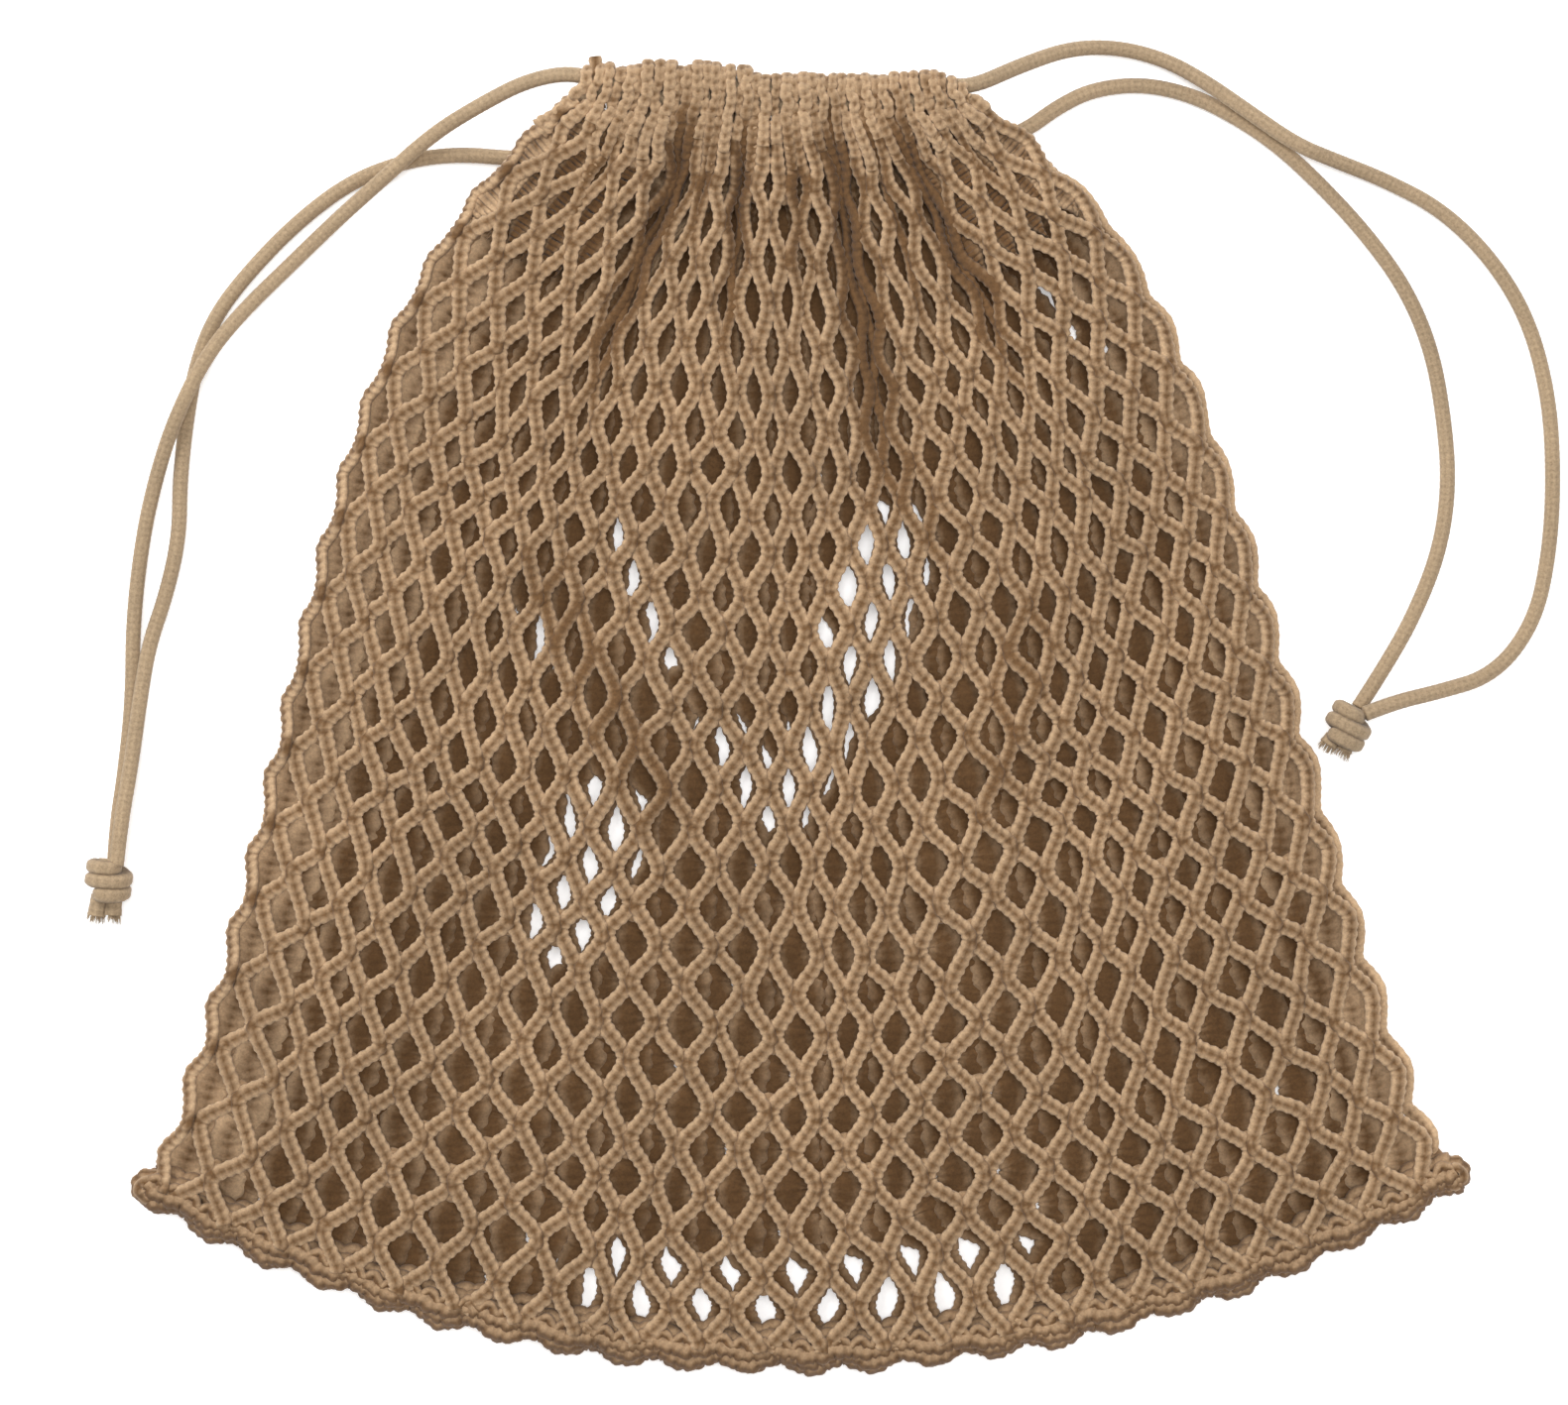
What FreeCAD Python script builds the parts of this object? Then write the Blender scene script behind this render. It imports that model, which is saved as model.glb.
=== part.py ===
import FreeCAD, Part
import math
import os
from FreeCAD import Vector

# A flat drawstring bag of open cotton net, lying on its back on a level surface.
# Millimetres. +Z is up, +Y runs from the bottom seam to the gathered mouth.
# The origin is under the middle of the bag, on the surface that it lies on.
# The bag's soft layers are plain solids of the right size and place.

# ---- driving dimensions ----
CORD_DIAMETER = 3.5
NET_THICKNESS = 3.0
RUNNING_GAP = 0.3          # between pieces of bodies that move past each other

# Outline of the flat bag, seen from above: two straight lower sides, an arc on each
# shoulder, a bowed base and a short straight mouth.
LEFT_CORNER = (-146.0, -109.6)
LEFT_SHOULDER_START = (-88.0, 90.0)
LEFT_SHOULDER_MID = (-71.5, 119.0)
RIGHT_CORNER = (146.0, -107.0)
RIGHT_SHOULDER_START = (94.0, 66.0)
RIGHT_SHOULDER_MID = (73.0, 110.0)
BASE_LOW_POINT = (-4.0, -148.8)
MOUTH_LEFT = (-47.8, 142.6)
MOUTH_RIGHT = (40.0, 141.6)

# The front layer's underside rises from the base to the mouth, over the bag's inside.
FRONT_RISE_START = (-148.8, 7.2)     # y, z
FRONT_RISE_END = (147.4, 11.0)

# Gathered mouth bands, each a sleeve round the two cords side by side.
BAND_DEPTH = 11.2                    # along Y
BAND_HEIGHT = 6.2                    # along Z
CORD_SPACING = 4.0                   # between the two cords in a sleeve
BAND_ROUNDING = 0.9
SLEEVE_ROUNDING = 0.8
SLEEVE_PLAY = 0.7                    # the sleeve's room for the cords, in all
SLEEVE_HEIGHT = CORD_DIAMETER + SLEEVE_PLAY
SLEEVE_DEPTH = CORD_SPACING + CORD_DIAMETER + SLEEVE_PLAY
FRONT_BAND_X = (-41.0, 34.0)
FRONT_BAND_Y = 136.2                 # its edge on the bag's side
FRONT_BAND_Z = 10.9
BACK_BAND_X = (-46.0, 36.0)
BACK_BAND_Y = 123.8
BACK_BAND_Z = 0.0

# Bottom seam and the rolled ends that stand out at its corners.
SEAM_WIDTH = 6.5
SEAM_HEIGHT = 9.6
SEAM_END_RADIUS = 4.4
SEAM_END_SHIFT = 0.6                 # the roll's nose, up from the corner along Y
FOLD_WIDTH = 4.0                     # the net's turned side edges
FOLD_TOP_Y = 117.0
YARN_TAIL_RADIUS = 1.2
YARN_TAIL_STEM = 0.6
YARN_TAIL_INSET = 1.6                # from the front band's left end

# Drawstrings: the length of cord that slides out of each sleeve, and the knots.
PULL_TRAVEL = 20.0
FEED_LENGTH = PULL_TRAVEL + 8.0
KNOT_RADIUS = 5.7
KNOT_LENGTH = 10.6
KNOT_WAIST_RADIUS = KNOT_RADIUS - 1.3
KNOT_END_RADIUS = 2.4
KNOT_Z = KNOT_RADIUS + 0.1
LEFT_TAIL_LENGTH = 4.6
RIGHT_TAIL_LENGTH = 2.6
TAIL_ROOT = 2.0                      # how far the tails run into a knot
TAIL_RADIUS = CORD_DIAMETER / 2 - 0.05

# Larger than the bag in every direction, for cutting and keeping whole regions.
FAR_X = 300.0
FAR_Y = 300.0
FAR_Z = 60.0

LOW_CORD_Z = CORD_DIAMETER / 2
FRONT_CORD_Z = FRONT_BAND_Z + BAND_HEIGHT / 2
BACK_CORD_Z = BACK_BAND_Z + BAND_HEIGHT / 2
FRONT_LEFT_CORD_Y = FRONT_BAND_Y + BAND_DEPTH / 2 - CORD_SPACING / 2
FRONT_RIGHT_CORD_Y = FRONT_LEFT_CORD_Y + CORD_SPACING
BACK_LEFT_CORD_Y = BACK_BAND_Y + BAND_DEPTH / 2 - CORD_SPACING / 2
BACK_RIGHT_CORD_Y = BACK_LEFT_CORD_Y + CORD_SPACING

# Free cords, from the end of each sleeve to the knot. Each list is x, y, z.
LEFT_UPPER_ROUTE = [
    (FRONT_BAND_X[0] - RUNNING_GAP, FRONT_LEFT_CORD_Y, FRONT_CORD_Z),
    (-51.5, FRONT_LEFT_CORD_Y, FRONT_CORD_Z),
    (-62.0, 141.8, 12.0),
    (-73.0, 137.0, 8.4),
    (-84.0, 130.6, 6.4),
    (-96.0, 122.2, 6.4),
    (-106.8, 113.2, 3.0),
    (-118.0, 102.6, LOW_CORD_Z),
    (-128.0, 92.6, 3.0),
    (-136.0, 82.0, 6.6),
    (-143.0, 67.5, 6.6),
    (-147.6, 55.0, 3.0),
    (-150.9, 41.0, LOW_CORD_Z),
    (-153.1, 22.0, LOW_CORD_Z),
    (-153.2, 4.0, LOW_CORD_Z),
    (-154.9, -13.0, 2.2),
    (-156.6, -25.0, 3.6),
    (-157.0, -34.0, 4.0),
]
LEFT_LOWER_ROUTE = [
    (BACK_BAND_X[0] - RUNNING_GAP, BACK_LEFT_CORD_Y, BACK_CORD_Z),
    (-56.0, BACK_LEFT_CORD_Y, BACK_CORD_Z),
    (-67.0, 128.0, 2.3),
    (-78.5, 129.0, LOW_CORD_Z),
    (-90.0, 127.6, LOW_CORD_Z),
    (-103.0, 122.8, LOW_CORD_Z),
    (-115.0, 113.8, LOW_CORD_Z),
    (-126.0, 102.6, LOW_CORD_Z),
    (-134.4, 91.8, LOW_CORD_Z),
    (-138.8, 80.0, LOW_CORD_Z),
    (-141.0, 67.0, LOW_CORD_Z),
    (-142.3, 54.0, LOW_CORD_Z),
    (-142.5, 41.0, LOW_CORD_Z),
    (-145.4, 28.0, 2.0),
    (-149.2, 16.0, 4.2),
    (-151.0, 3.0, 5.8),
    (-153.0, -12.0, 6.2),
    (-155.0, -24.0, 7.4),
    (-156.0, -34.0, 7.8),
]
RIGHT_UPPER_ROUTE = [
    (FRONT_BAND_X[1] + RUNNING_GAP, FRONT_RIGHT_CORD_Y, FRONT_CORD_Z),
    (41.8, FRONT_RIGHT_CORD_Y, FRONT_CORD_Z),
    (51.0, 148.2, 11.0),
    (61.5, 152.8, 4.8),
    (72.5, 153.5, 2.0),
    (83.5, 150.6, 2.4),
    (92.5, 145.0, 5.6),
    (102.6, 137.8, 6.4),
    (113.0, 130.6, 6.4),
    (122.5, 127.2, 3.6),
    (134.0, 123.0, 1.9),
    (147.0, 116.3, LOW_CORD_Z),
    (158.5, 105.0, LOW_CORD_Z),
    (167.0, 91.0, LOW_CORD_Z),
    (171.6, 73.5, LOW_CORD_Z),
    (172.7, 55.5, LOW_CORD_Z),
    (171.8, 38.0, LOW_CORD_Z),
    (168.4, 21.6, LOW_CORD_Z),
    (159.0, 9.4, 2.2),
    (145.0, 5.4, 4.4),
    (136.0, 3.4, 6.6),
    (128.6, 0.6, 7.2),
]
RIGHT_LOWER_ROUTE = [
    (BACK_BAND_X[1] + RUNNING_GAP, BACK_RIGHT_CORD_Y, BACK_CORD_Z),
    (43.6, BACK_RIGHT_CORD_Y, BACK_CORD_Z),
    (51.5, 134.2, 2.8),
    (59.0, 139.8, 2.1),
    (67.0, 143.8, LOW_CORD_Z),
    (78.0, 145.1, LOW_CORD_Z),
    (89.0, 142.8, LOW_CORD_Z),
    (99.0, 138.0, LOW_CORD_Z),
    (109.0, 131.4, LOW_CORD_Z),
    (119.0, 122.2, LOW_CORD_Z),
    (129.6, 110.8, LOW_CORD_Z),
    (138.8, 98.2, LOW_CORD_Z),
    (144.8, 84.0, LOW_CORD_Z),
    (147.6, 68.0, LOW_CORD_Z),
    (148.7, 53.0, LOW_CORD_Z),
    (146.6, 38.0, LOW_CORD_Z),
    (140.6, 23.0, 1.9),
    (133.6, 11.0, 3.0),
    (127.6, 2.0, 4.0),
]

# The hidden turn of each cord, from the front sleeve to the back one, round the far side.
LEFT_TURN_ROUTE = [
    (FRONT_BAND_X[1] + RUNNING_GAP, FRONT_LEFT_CORD_Y, FRONT_CORD_Z),
    (40.0, FRONT_LEFT_CORD_Y, FRONT_CORD_Z),
    (44.6, 138.2, 8.6),
    (46.8, 133.2, 7.6),
    (46.0, 128.2, 6.4),
    (42.0, BACK_LEFT_CORD_Y, BACK_CORD_Z),
    (BACK_BAND_X[1] + RUNNING_GAP, BACK_LEFT_CORD_Y, BACK_CORD_Z),
]
RIGHT_TURN_ROUTE = [
    (FRONT_BAND_X[0] - RUNNING_GAP, FRONT_RIGHT_CORD_Y, FRONT_CORD_Z),
    (-46.8, FRONT_RIGHT_CORD_Y, FRONT_CORD_Z),
    (-52.4, 142.0, 7.6),
    (-54.8, 136.4, 6.0),
    (-51.8, BACK_RIGHT_CORD_Y, BACK_CORD_Z),
    (BACK_BAND_X[0] - RUNNING_GAP, BACK_RIGHT_CORD_Y, BACK_CORD_Z),
]

LEFT_KNOT_CENTRE = (-158.0, -37.2, KNOT_Z)
LEFT_KNOT_AXIS = (-0.12, -1.0, 0.0)
RIGHT_KNOT_CENTRE = (125.0, -2.2, KNOT_Z)
RIGHT_KNOT_AXIS = (-0.42, -0.91, 0.0)


def tube(route, label):
    """A round tube along a route: straight runs joined by tangent arcs as large as the runs allow."""
    points = [Vector(*p) for p in route]
    edges = []
    radii = []
    start = points[0]
    for before, corner, after in zip(points, points[1:], points[2:]):
        into = (corner - before).normalize()
        out = (after - corner).normalize()
        half_turn = into.getAngle(out) / 2
        set_back = 0.45 * min((corner - before).Length, (after - corner).Length)
        radii.append(set_back / math.tan(half_turn))
        arc_start = corner - into * set_back
        arc_end = corner + out * set_back
        to_centre = (out - into).normalize()
        centre = corner + to_centre * (set_back / math.sin(half_turn))
        arc_mid = centre - to_centre * radii[-1]
        edges.append(Part.LineSegment(start, arc_start).toShape())
        edges.append(Part.Arc(arc_start, arc_mid, arc_end).toShape())
        start = arc_end
    edges.append(Part.LineSegment(start, points[-1]).toShape())
    path = Part.Wire(edges)
    section = Part.Circle(points[0], points[1] - points[0], CORD_DIAMETER / 2)
    solid = path.makePipeShell([Part.Wire(section.toShape())], True, True)
    expected = math.pi * CORD_DIAMETER ** 2 / 4 * path.Length
    print(f"{label}: length {path.Length:.1f}, volume over section times length",
          f"{solid.Volume / expected:.4f}, radii {[round(radius) for radius in radii]}")
    return solid


def straight_cord(x_one, x_other, y, z):
    """A straight length of cord along X, inside a sleeve."""
    x_start = min(x_one, x_other)
    return Part.makeCylinder(CORD_DIAMETER / 2, abs(x_other - x_one), Vector(x_start, y, z), Vector(1, 0, 0))


def outline_face(inset=0.0):
    """The flat bag's outline, or the same outline drawn in by inset."""
    def flat(point):
        return Vector(point[0], point[1], 0)
    edges = [
        Part.LineSegment(flat(LEFT_CORNER), flat(LEFT_SHOULDER_START)).toShape(),
        Part.Arc(flat(LEFT_SHOULDER_START), flat(LEFT_SHOULDER_MID), flat(MOUTH_LEFT)).toShape(),
        Part.LineSegment(flat(MOUTH_LEFT), flat(MOUTH_RIGHT)).toShape(),
        Part.Arc(flat(MOUTH_RIGHT), flat(RIGHT_SHOULDER_MID), flat(RIGHT_SHOULDER_START)).toShape(),
        Part.LineSegment(flat(RIGHT_SHOULDER_START), flat(RIGHT_CORNER)).toShape(),
        Part.Arc(flat(RIGHT_CORNER), flat(BASE_LOW_POINT), flat(LEFT_CORNER)).toShape(),
    ]
    wire = Part.Wire(edges)
    if inset:
        wire = wire.makeOffset2D(-inset)
    return Part.Face(wire)


def prism(face, z_low, z_high):
    """A flat face extruded from z_low to z_high."""
    return face.translated(Vector(0, 0, z_low)).extrude(Vector(0, 0, z_high - z_low))


def full_prism(inset=0.0):
    """The bag's outline through all heights of interest."""
    return prism(outline_face(inset), -FAR_Z, FAR_Z)


def below_y(y_limit):
    """All space of interest on the bag's side of a line across the bag."""
    return Part.makeBox(2 * FAR_X, FAR_Y + y_limit, 2 * FAR_Z, Vector(-FAR_X, -FAR_Y, -FAR_Z))


def front_underside_z(y):
    """Height of the front layer's underside at y."""
    (y_low, z_low), (y_high, z_high) = FRONT_RISE_START, FRONT_RISE_END
    return z_low + (y - y_low) * (z_high - z_low) / (y_high - y_low)


def rising_layer(offset_low, offset_high):
    """All space between two heights counted from the front layer's sloping underside."""
    corners = [
        Vector(-FAR_X, y, front_underside_z(y) + offset)
        for y, offset in (
            (-FAR_Y, offset_low), (FAR_Y, offset_low), (FAR_Y, offset_high), (-FAR_Y, offset_high))
    ]
    return Part.Face(Part.makePolygon(corners + corners[:1])).extrude(Vector(2 * FAR_X, 0, 0))


def back_net():
    """The bag's lower layer, flat on the surface, from the seam to the back mouth band."""
    sheet = prism(outline_face(SEAM_WIDTH), 0, NET_THICKNESS)
    sides = prism(outline_face(), 0, NET_THICKNESS).cut(seam_region())
    return sheet.fuse(sides).removeSplitter().common(below_y(BACK_BAND_Y))


def front_net():
    """The bag's upper layer, from just inside the seam to the front mouth band."""
    inside = full_prism().cut(seam_region(RUNNING_GAP))
    return inside.common(rising_layer(0, NET_THICKNESS)).common(below_y(FRONT_BAND_Y))


def seam_region(gap=0.0):
    """The strip along the bowed base that the bottom seam takes up, as tall as the bag."""
    left, middle, right = (
        Vector(x, y + SEAM_WIDTH + gap, -FAR_Z) for x, y in (LEFT_CORNER, BASE_LOW_POINT, RIGHT_CORNER))
    around = [
        right,
        Vector(FAR_X, right.y, -FAR_Z),
        Vector(FAR_X, -FAR_Y, -FAR_Z),
        Vector(-FAR_X, -FAR_Y, -FAR_Z),
        Vector(-FAR_X, left.y, -FAR_Z),
        left,
    ]
    edges = [Part.Arc(left, middle, right).toShape()]
    edges += [Part.LineSegment(*pair).toShape() for pair in zip(around, around[1:])]
    return Part.Face(Part.Wire(edges)).extrude(Vector(0, 0, 2 * FAR_Z))


def bottom_seam():
    """The thick chained edge that closes the base, over the whole height of the bag."""
    return prism(outline_face(), 0, SEAM_HEIGHT).common(seam_region())


def seam_end(side):
    """The rolled end of the seam that stands out at a base corner: a short roll with a round nose."""
    corner = LEFT_CORNER if side == "left" else RIGHT_CORNER
    nose = Vector(corner[0], corner[1] + SEAM_END_SHIFT, SEAM_END_RADIUS)
    roll = Part.makeCylinder(SEAM_END_RADIUS, SEAM_WIDTH, nose, Vector(0, 1, 0))
    roll = roll.fuse(Part.makeSphere(SEAM_END_RADIUS, nose)).removeSplitter()
    outside = roll.cut(full_prism()).common(seam_region())
    return max(outside.Solids, key=lambda piece: abs(piece.CenterOfMass.x))


def side_fold(side):
    """The net's turned edge, which closes one side between the back and the front layer."""
    ring = prism(outline_face(), NET_THICKNESS, FAR_Z).cut(full_prism(FOLD_WIDTH))
    ring = ring.cut(seam_region()).common(below_y(FOLD_TOP_Y))
    ring = ring.common(rising_layer(-FAR_Z, -RUNNING_GAP))
    half_start = Vector(-FAR_X if side == "left" else 0, -FAR_Y, -FAR_Z)
    return ring.common(Part.makeBox(FAR_X, 2 * FAR_Y, 2 * FAR_Z, half_start))


def rounded_along_x(block, radius):
    """A block with its four long edges along X rounded."""
    return block.makeFillet(radius, [edge for edge in block.Edges if abs(edge.tangentAt(0).x) > 0.9])


def mouth_band(x_range, y_low, z_low):
    """A gathered band with a sleeve through it along X for the two cords."""
    length = x_range[1] - x_range[0]
    wall_y = (BAND_DEPTH - SLEEVE_DEPTH) / 2
    wall_z = (BAND_HEIGHT - SLEEVE_HEIGHT) / 2
    overshoot = 1.0
    block = Part.makeBox(length, BAND_DEPTH, BAND_HEIGHT, Vector(x_range[0], y_low, z_low))
    sleeve = Part.makeBox(
        length + 2 * overshoot, SLEEVE_DEPTH, SLEEVE_HEIGHT,
        Vector(x_range[0] - overshoot, y_low + wall_y, z_low + wall_z))
    return rounded_along_x(block, BAND_ROUNDING).cut(rounded_along_x(sleeve, SLEEVE_ROUNDING))


def yarn_tail():
    """The fastened-off end of the net's own yarn, a stub on the mouth's left corner."""
    root = Vector(FRONT_BAND_X[0] + YARN_TAIL_INSET, FRONT_BAND_Y + BAND_DEPTH, FRONT_CORD_Z)
    outward = Vector(0, 1, 0)
    stem = Part.makeCylinder(YARN_TAIL_RADIUS, YARN_TAIL_STEM, root, outward)
    tip = Part.makeSphere(YARN_TAIL_RADIUS, root + outward * YARN_TAIL_STEM)
    return stem.fuse(tip.cut(below_y(root.y))).removeSplitter()


def turned_along(shape, centre, axis):
    """A shape modelled along +Z, moved to centre and turned so that it points along a level axis."""
    along = Vector(*axis).normalize()
    level = Vector(0, 0, 1).cross(along)
    turn = FreeCAD.Rotation(Vector(0, 0, 1).negative(), level, along, "ZYX")
    placed = shape.copy()
    placed.Placement = FreeCAD.Placement(centre, turn)
    return placed


def knot(centre, axis):
    """An overhand knot tied in both strands together: two fat wraps side by side."""
    half = KNOT_LENGTH / 2
    near_axis, far_axis = Vector(0, 0, -half), Vector(0, 0, half)
    near_rim, near_wrap = Vector(KNOT_END_RADIUS, 0, -half), Vector(KNOT_RADIUS, 0, -half / 2)
    waist = Vector(KNOT_WAIST_RADIUS, 0, 0)
    far_wrap, far_rim = Vector(KNOT_RADIUS, 0, half / 2), Vector(KNOT_END_RADIUS, 0, half)
    edges = [
        Part.LineSegment(near_axis, near_rim).toShape(),
        Part.Arc(near_rim, near_wrap, waist).toShape(),
        Part.Arc(waist, far_wrap, far_rim).toShape(),
        Part.LineSegment(far_rim, far_axis).toShape(),
        Part.LineSegment(far_axis, near_axis).toShape(),
    ]
    body = Part.Face(Part.Wire(edges)).revolve(Vector(0, 0, 0), Vector(0, 0, 1), 360)
    return turned_along(body, Vector(*centre), axis)


def cord_tails(centre, axis, length):
    """The two short cut ends that stand out of the knot's far side, level with each other."""
    beside = Vector(0, CORD_DIAMETER / 2, 0)
    stubs = Part.makeCompound(
        [Part.makeCylinder(TAIL_RADIUS, length + TAIL_ROOT, beside * side) for side in (-1, 1)])
    far_side = Vector(*centre) + Vector(*axis).normalize() * (KNOT_LENGTH / 2 - TAIL_ROOT)
    return turned_along(stubs, far_side, axis)


def mouth_cords(side, mouth_y, back_y):
    """One drawstring's cord in and between the two sleeves: feeds at its own side, then the hidden runs."""
    front_out, front_far = (FRONT_BAND_X if side == "left" else FRONT_BAND_X[::-1])
    back_out, back_far = (BACK_BAND_X if side == "left" else BACK_BAND_X[::-1])
    inward = 1 if side == "left" else -1
    front_split = front_out + inward * FEED_LENGTH
    back_split = back_out + inward * FEED_LENGTH
    gap = inward * RUNNING_GAP
    return {
        f"{side}_cord_front_feed": straight_cord(front_out, front_split, mouth_y, FRONT_CORD_Z),
        f"{side}_cord_front_run": straight_cord(front_split + gap, front_far, mouth_y, FRONT_CORD_Z),
        f"{side}_cord_back_run": straight_cord(back_split + gap, back_far + gap, back_y, BACK_CORD_Z),
        f"{side}_cord_back_feed": straight_cord(back_out - gap, back_split, back_y, BACK_CORD_Z),
    }


def drawstring(side, routes, knot_place, tail_length):
    """One side's free strands, its hidden turn and its knot with the two cut tails."""
    upper, lower, turn = routes
    return {
        f"{side}_cord_upper": tube(upper, f"{side}_cord_upper"),
        f"{side}_cord_lower": tube(lower, f"{side}_cord_lower"),
        f"{side}_cord_turn": tube(turn, f"{side}_cord_turn"),
        f"{side}_knot": knot(*knot_place),
        f"{side}_cord_tails": cord_tails(*knot_place, tail_length),
    }


def build():
    left_routes = (LEFT_UPPER_ROUTE, LEFT_LOWER_ROUTE, LEFT_TURN_ROUTE)
    right_routes = (RIGHT_UPPER_ROUTE, RIGHT_LOWER_ROUTE, RIGHT_TURN_ROUTE)
    return {
        "back_net": back_net(),
        "front_net": front_net(),
        "bottom_seam": bottom_seam(),
        "left_seam_end": seam_end("left"),
        "right_seam_end": seam_end("right"),
        "left_side_fold": side_fold("left"),
        "right_side_fold": side_fold("right"),
        "front_mouth_band": mouth_band(FRONT_BAND_X, FRONT_BAND_Y, FRONT_BAND_Z),
        "back_mouth_band": mouth_band(BACK_BAND_X, BACK_BAND_Y, BACK_BAND_Z),
        "yarn_tail": yarn_tail(),
        **mouth_cords("left", FRONT_LEFT_CORD_Y, BACK_LEFT_CORD_Y),
        **drawstring("left", left_routes, (LEFT_KNOT_CENTRE, LEFT_KNOT_AXIS), LEFT_TAIL_LENGTH),
        **mouth_cords("right", FRONT_RIGHT_CORD_Y, BACK_RIGHT_CORD_Y),
        **drawstring("right", right_routes, (RIGHT_KNOT_CENTRE, RIGHT_KNOT_AXIS), RIGHT_TAIL_LENGTH),
    }


def main():
    os.makedirs("parts", exist_ok=True)
    nodes = build()
    for name, shape in nodes.items():
        shape.exportStep(f"parts/{name}.step")
    return nodes


NODES = main()
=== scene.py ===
"""A mesh laundry bag of chain-knitted cotton net with two drawstrings, lying flat on its back.

Lengths are in millimetres inside the net's functions and in metres everywhere else.
"""
import math

import bpy
import numpy as np
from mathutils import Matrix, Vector


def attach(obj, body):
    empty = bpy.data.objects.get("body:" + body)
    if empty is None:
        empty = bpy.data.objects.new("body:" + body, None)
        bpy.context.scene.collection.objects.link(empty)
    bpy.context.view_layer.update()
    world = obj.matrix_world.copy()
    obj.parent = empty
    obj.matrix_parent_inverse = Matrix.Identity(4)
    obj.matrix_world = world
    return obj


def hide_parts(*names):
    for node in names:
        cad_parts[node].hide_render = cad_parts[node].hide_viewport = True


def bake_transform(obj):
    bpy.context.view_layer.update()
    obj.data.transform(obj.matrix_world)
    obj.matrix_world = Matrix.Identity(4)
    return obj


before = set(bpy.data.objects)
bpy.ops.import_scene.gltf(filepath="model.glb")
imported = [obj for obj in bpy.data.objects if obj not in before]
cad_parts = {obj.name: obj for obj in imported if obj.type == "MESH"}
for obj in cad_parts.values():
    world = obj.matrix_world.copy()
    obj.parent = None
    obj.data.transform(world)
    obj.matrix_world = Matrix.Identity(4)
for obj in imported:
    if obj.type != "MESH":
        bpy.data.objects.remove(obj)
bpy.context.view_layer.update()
MM = 0.001
UP = np.array([0.0, 0.0, 1.0])
RNG = np.random.default_rng(7)


def new_object(name, data):
    """A new object of this data, in the scene."""
    made = bpy.data.objects.new(name, data)
    bpy.context.collection.objects.link(made)
    return made


# ---- camera

CAMERA_LENS = 100.0
CAMERA_SENSOR = 36.0
FRAME_WIDTH = 0.3573  # width of the view at the height of the bag's middle
FRAME_CENTRE = (-0.0038, 0.0032, 0.008)


def make_camera():
    """A camera straight above the bag, with the mouth at the top of the frame."""
    data = bpy.data.cameras.new("camera")
    data.lens = CAMERA_LENS
    data.sensor_width = CAMERA_SENSOR
    camera = new_object("camera", data)
    x, y, z = FRAME_CENTRE
    camera.location = (x, y, z + FRAME_WIDTH * CAMERA_LENS / CAMERA_SENSOR)
    bpy.context.scene.camera = camera


make_camera()

# ---- small helpers


def unit(vectors):
    """The same vectors with length 1."""
    return vectors / np.maximum(np.linalg.norm(vectors, axis=-1, keepdims=True), 1e-12)


def square_to(tangents, vectors):
    """Unit vectors: what is left of the vectors at right angles to the tangents."""
    return unit(vectors - (vectors * tangents).sum(1, keepdims=True) * tangents)


def smoothstep(t):
    """0 below 0, 1 above 1 and a smooth rise between."""
    t = np.clip(t, 0, 1)
    return t * t * (3 - 2 * t)


def bell(distance, width):
    """1 at no distance, falling off smoothly over about the width."""
    return np.exp(-(distance / width) ** 2)


def between(ends, share):
    """The value a share of the way from the first end to the second."""
    return ends[0] + (ends[1] - ends[0]) * share


def arc_lengths(line):
    """How far along a line each of its points is."""
    steps = np.linalg.norm(np.diff(line, axis=0), axis=1)
    return np.concatenate([[0], np.cumsum(steps)])


def points_at(at, along, line):
    """The places on a line, whose points lie at the lengths along, at other lengths."""
    return np.stack([np.interp(at, along, line[:, axis]) for axis in range(3)], axis=1)


def resampled(line, step):
    """The same line with points about step apart."""
    along = arc_lengths(line)
    at = np.linspace(0, along[-1], max(2, int(round(along[-1] / step)) + 1))
    return points_at(at, along, line)


def steady_normals(line, first=(0, 0, 1)):
    """Tangents and normals along a line. The normals turn as little as they can."""
    tangents = unit(np.gradient(line, axis=0))
    normals = np.empty_like(tangents)
    normal = np.array(first, float)
    for i, tangent in enumerate(tangents):
        normal = normal - tangent * (normal @ tangent)
        normal /= max(np.linalg.norm(normal), 1e-9)
        normals[i] = normal
    return tangents, normals


def ring_angles(sides):
    """Evenly spaced angles round a ring."""
    return np.linspace(0, 2 * math.pi, sides, endpoint=False)[None, :]


def rings_round(line, one, one_way, other, other_way):
    """Rings round a line: two N x K distances from it, each along its own N x 3 directions."""
    return line[:, None, :] + one[..., None] * one_way[:, None, :] + other[..., None] * other_way[:, None, :]


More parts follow.
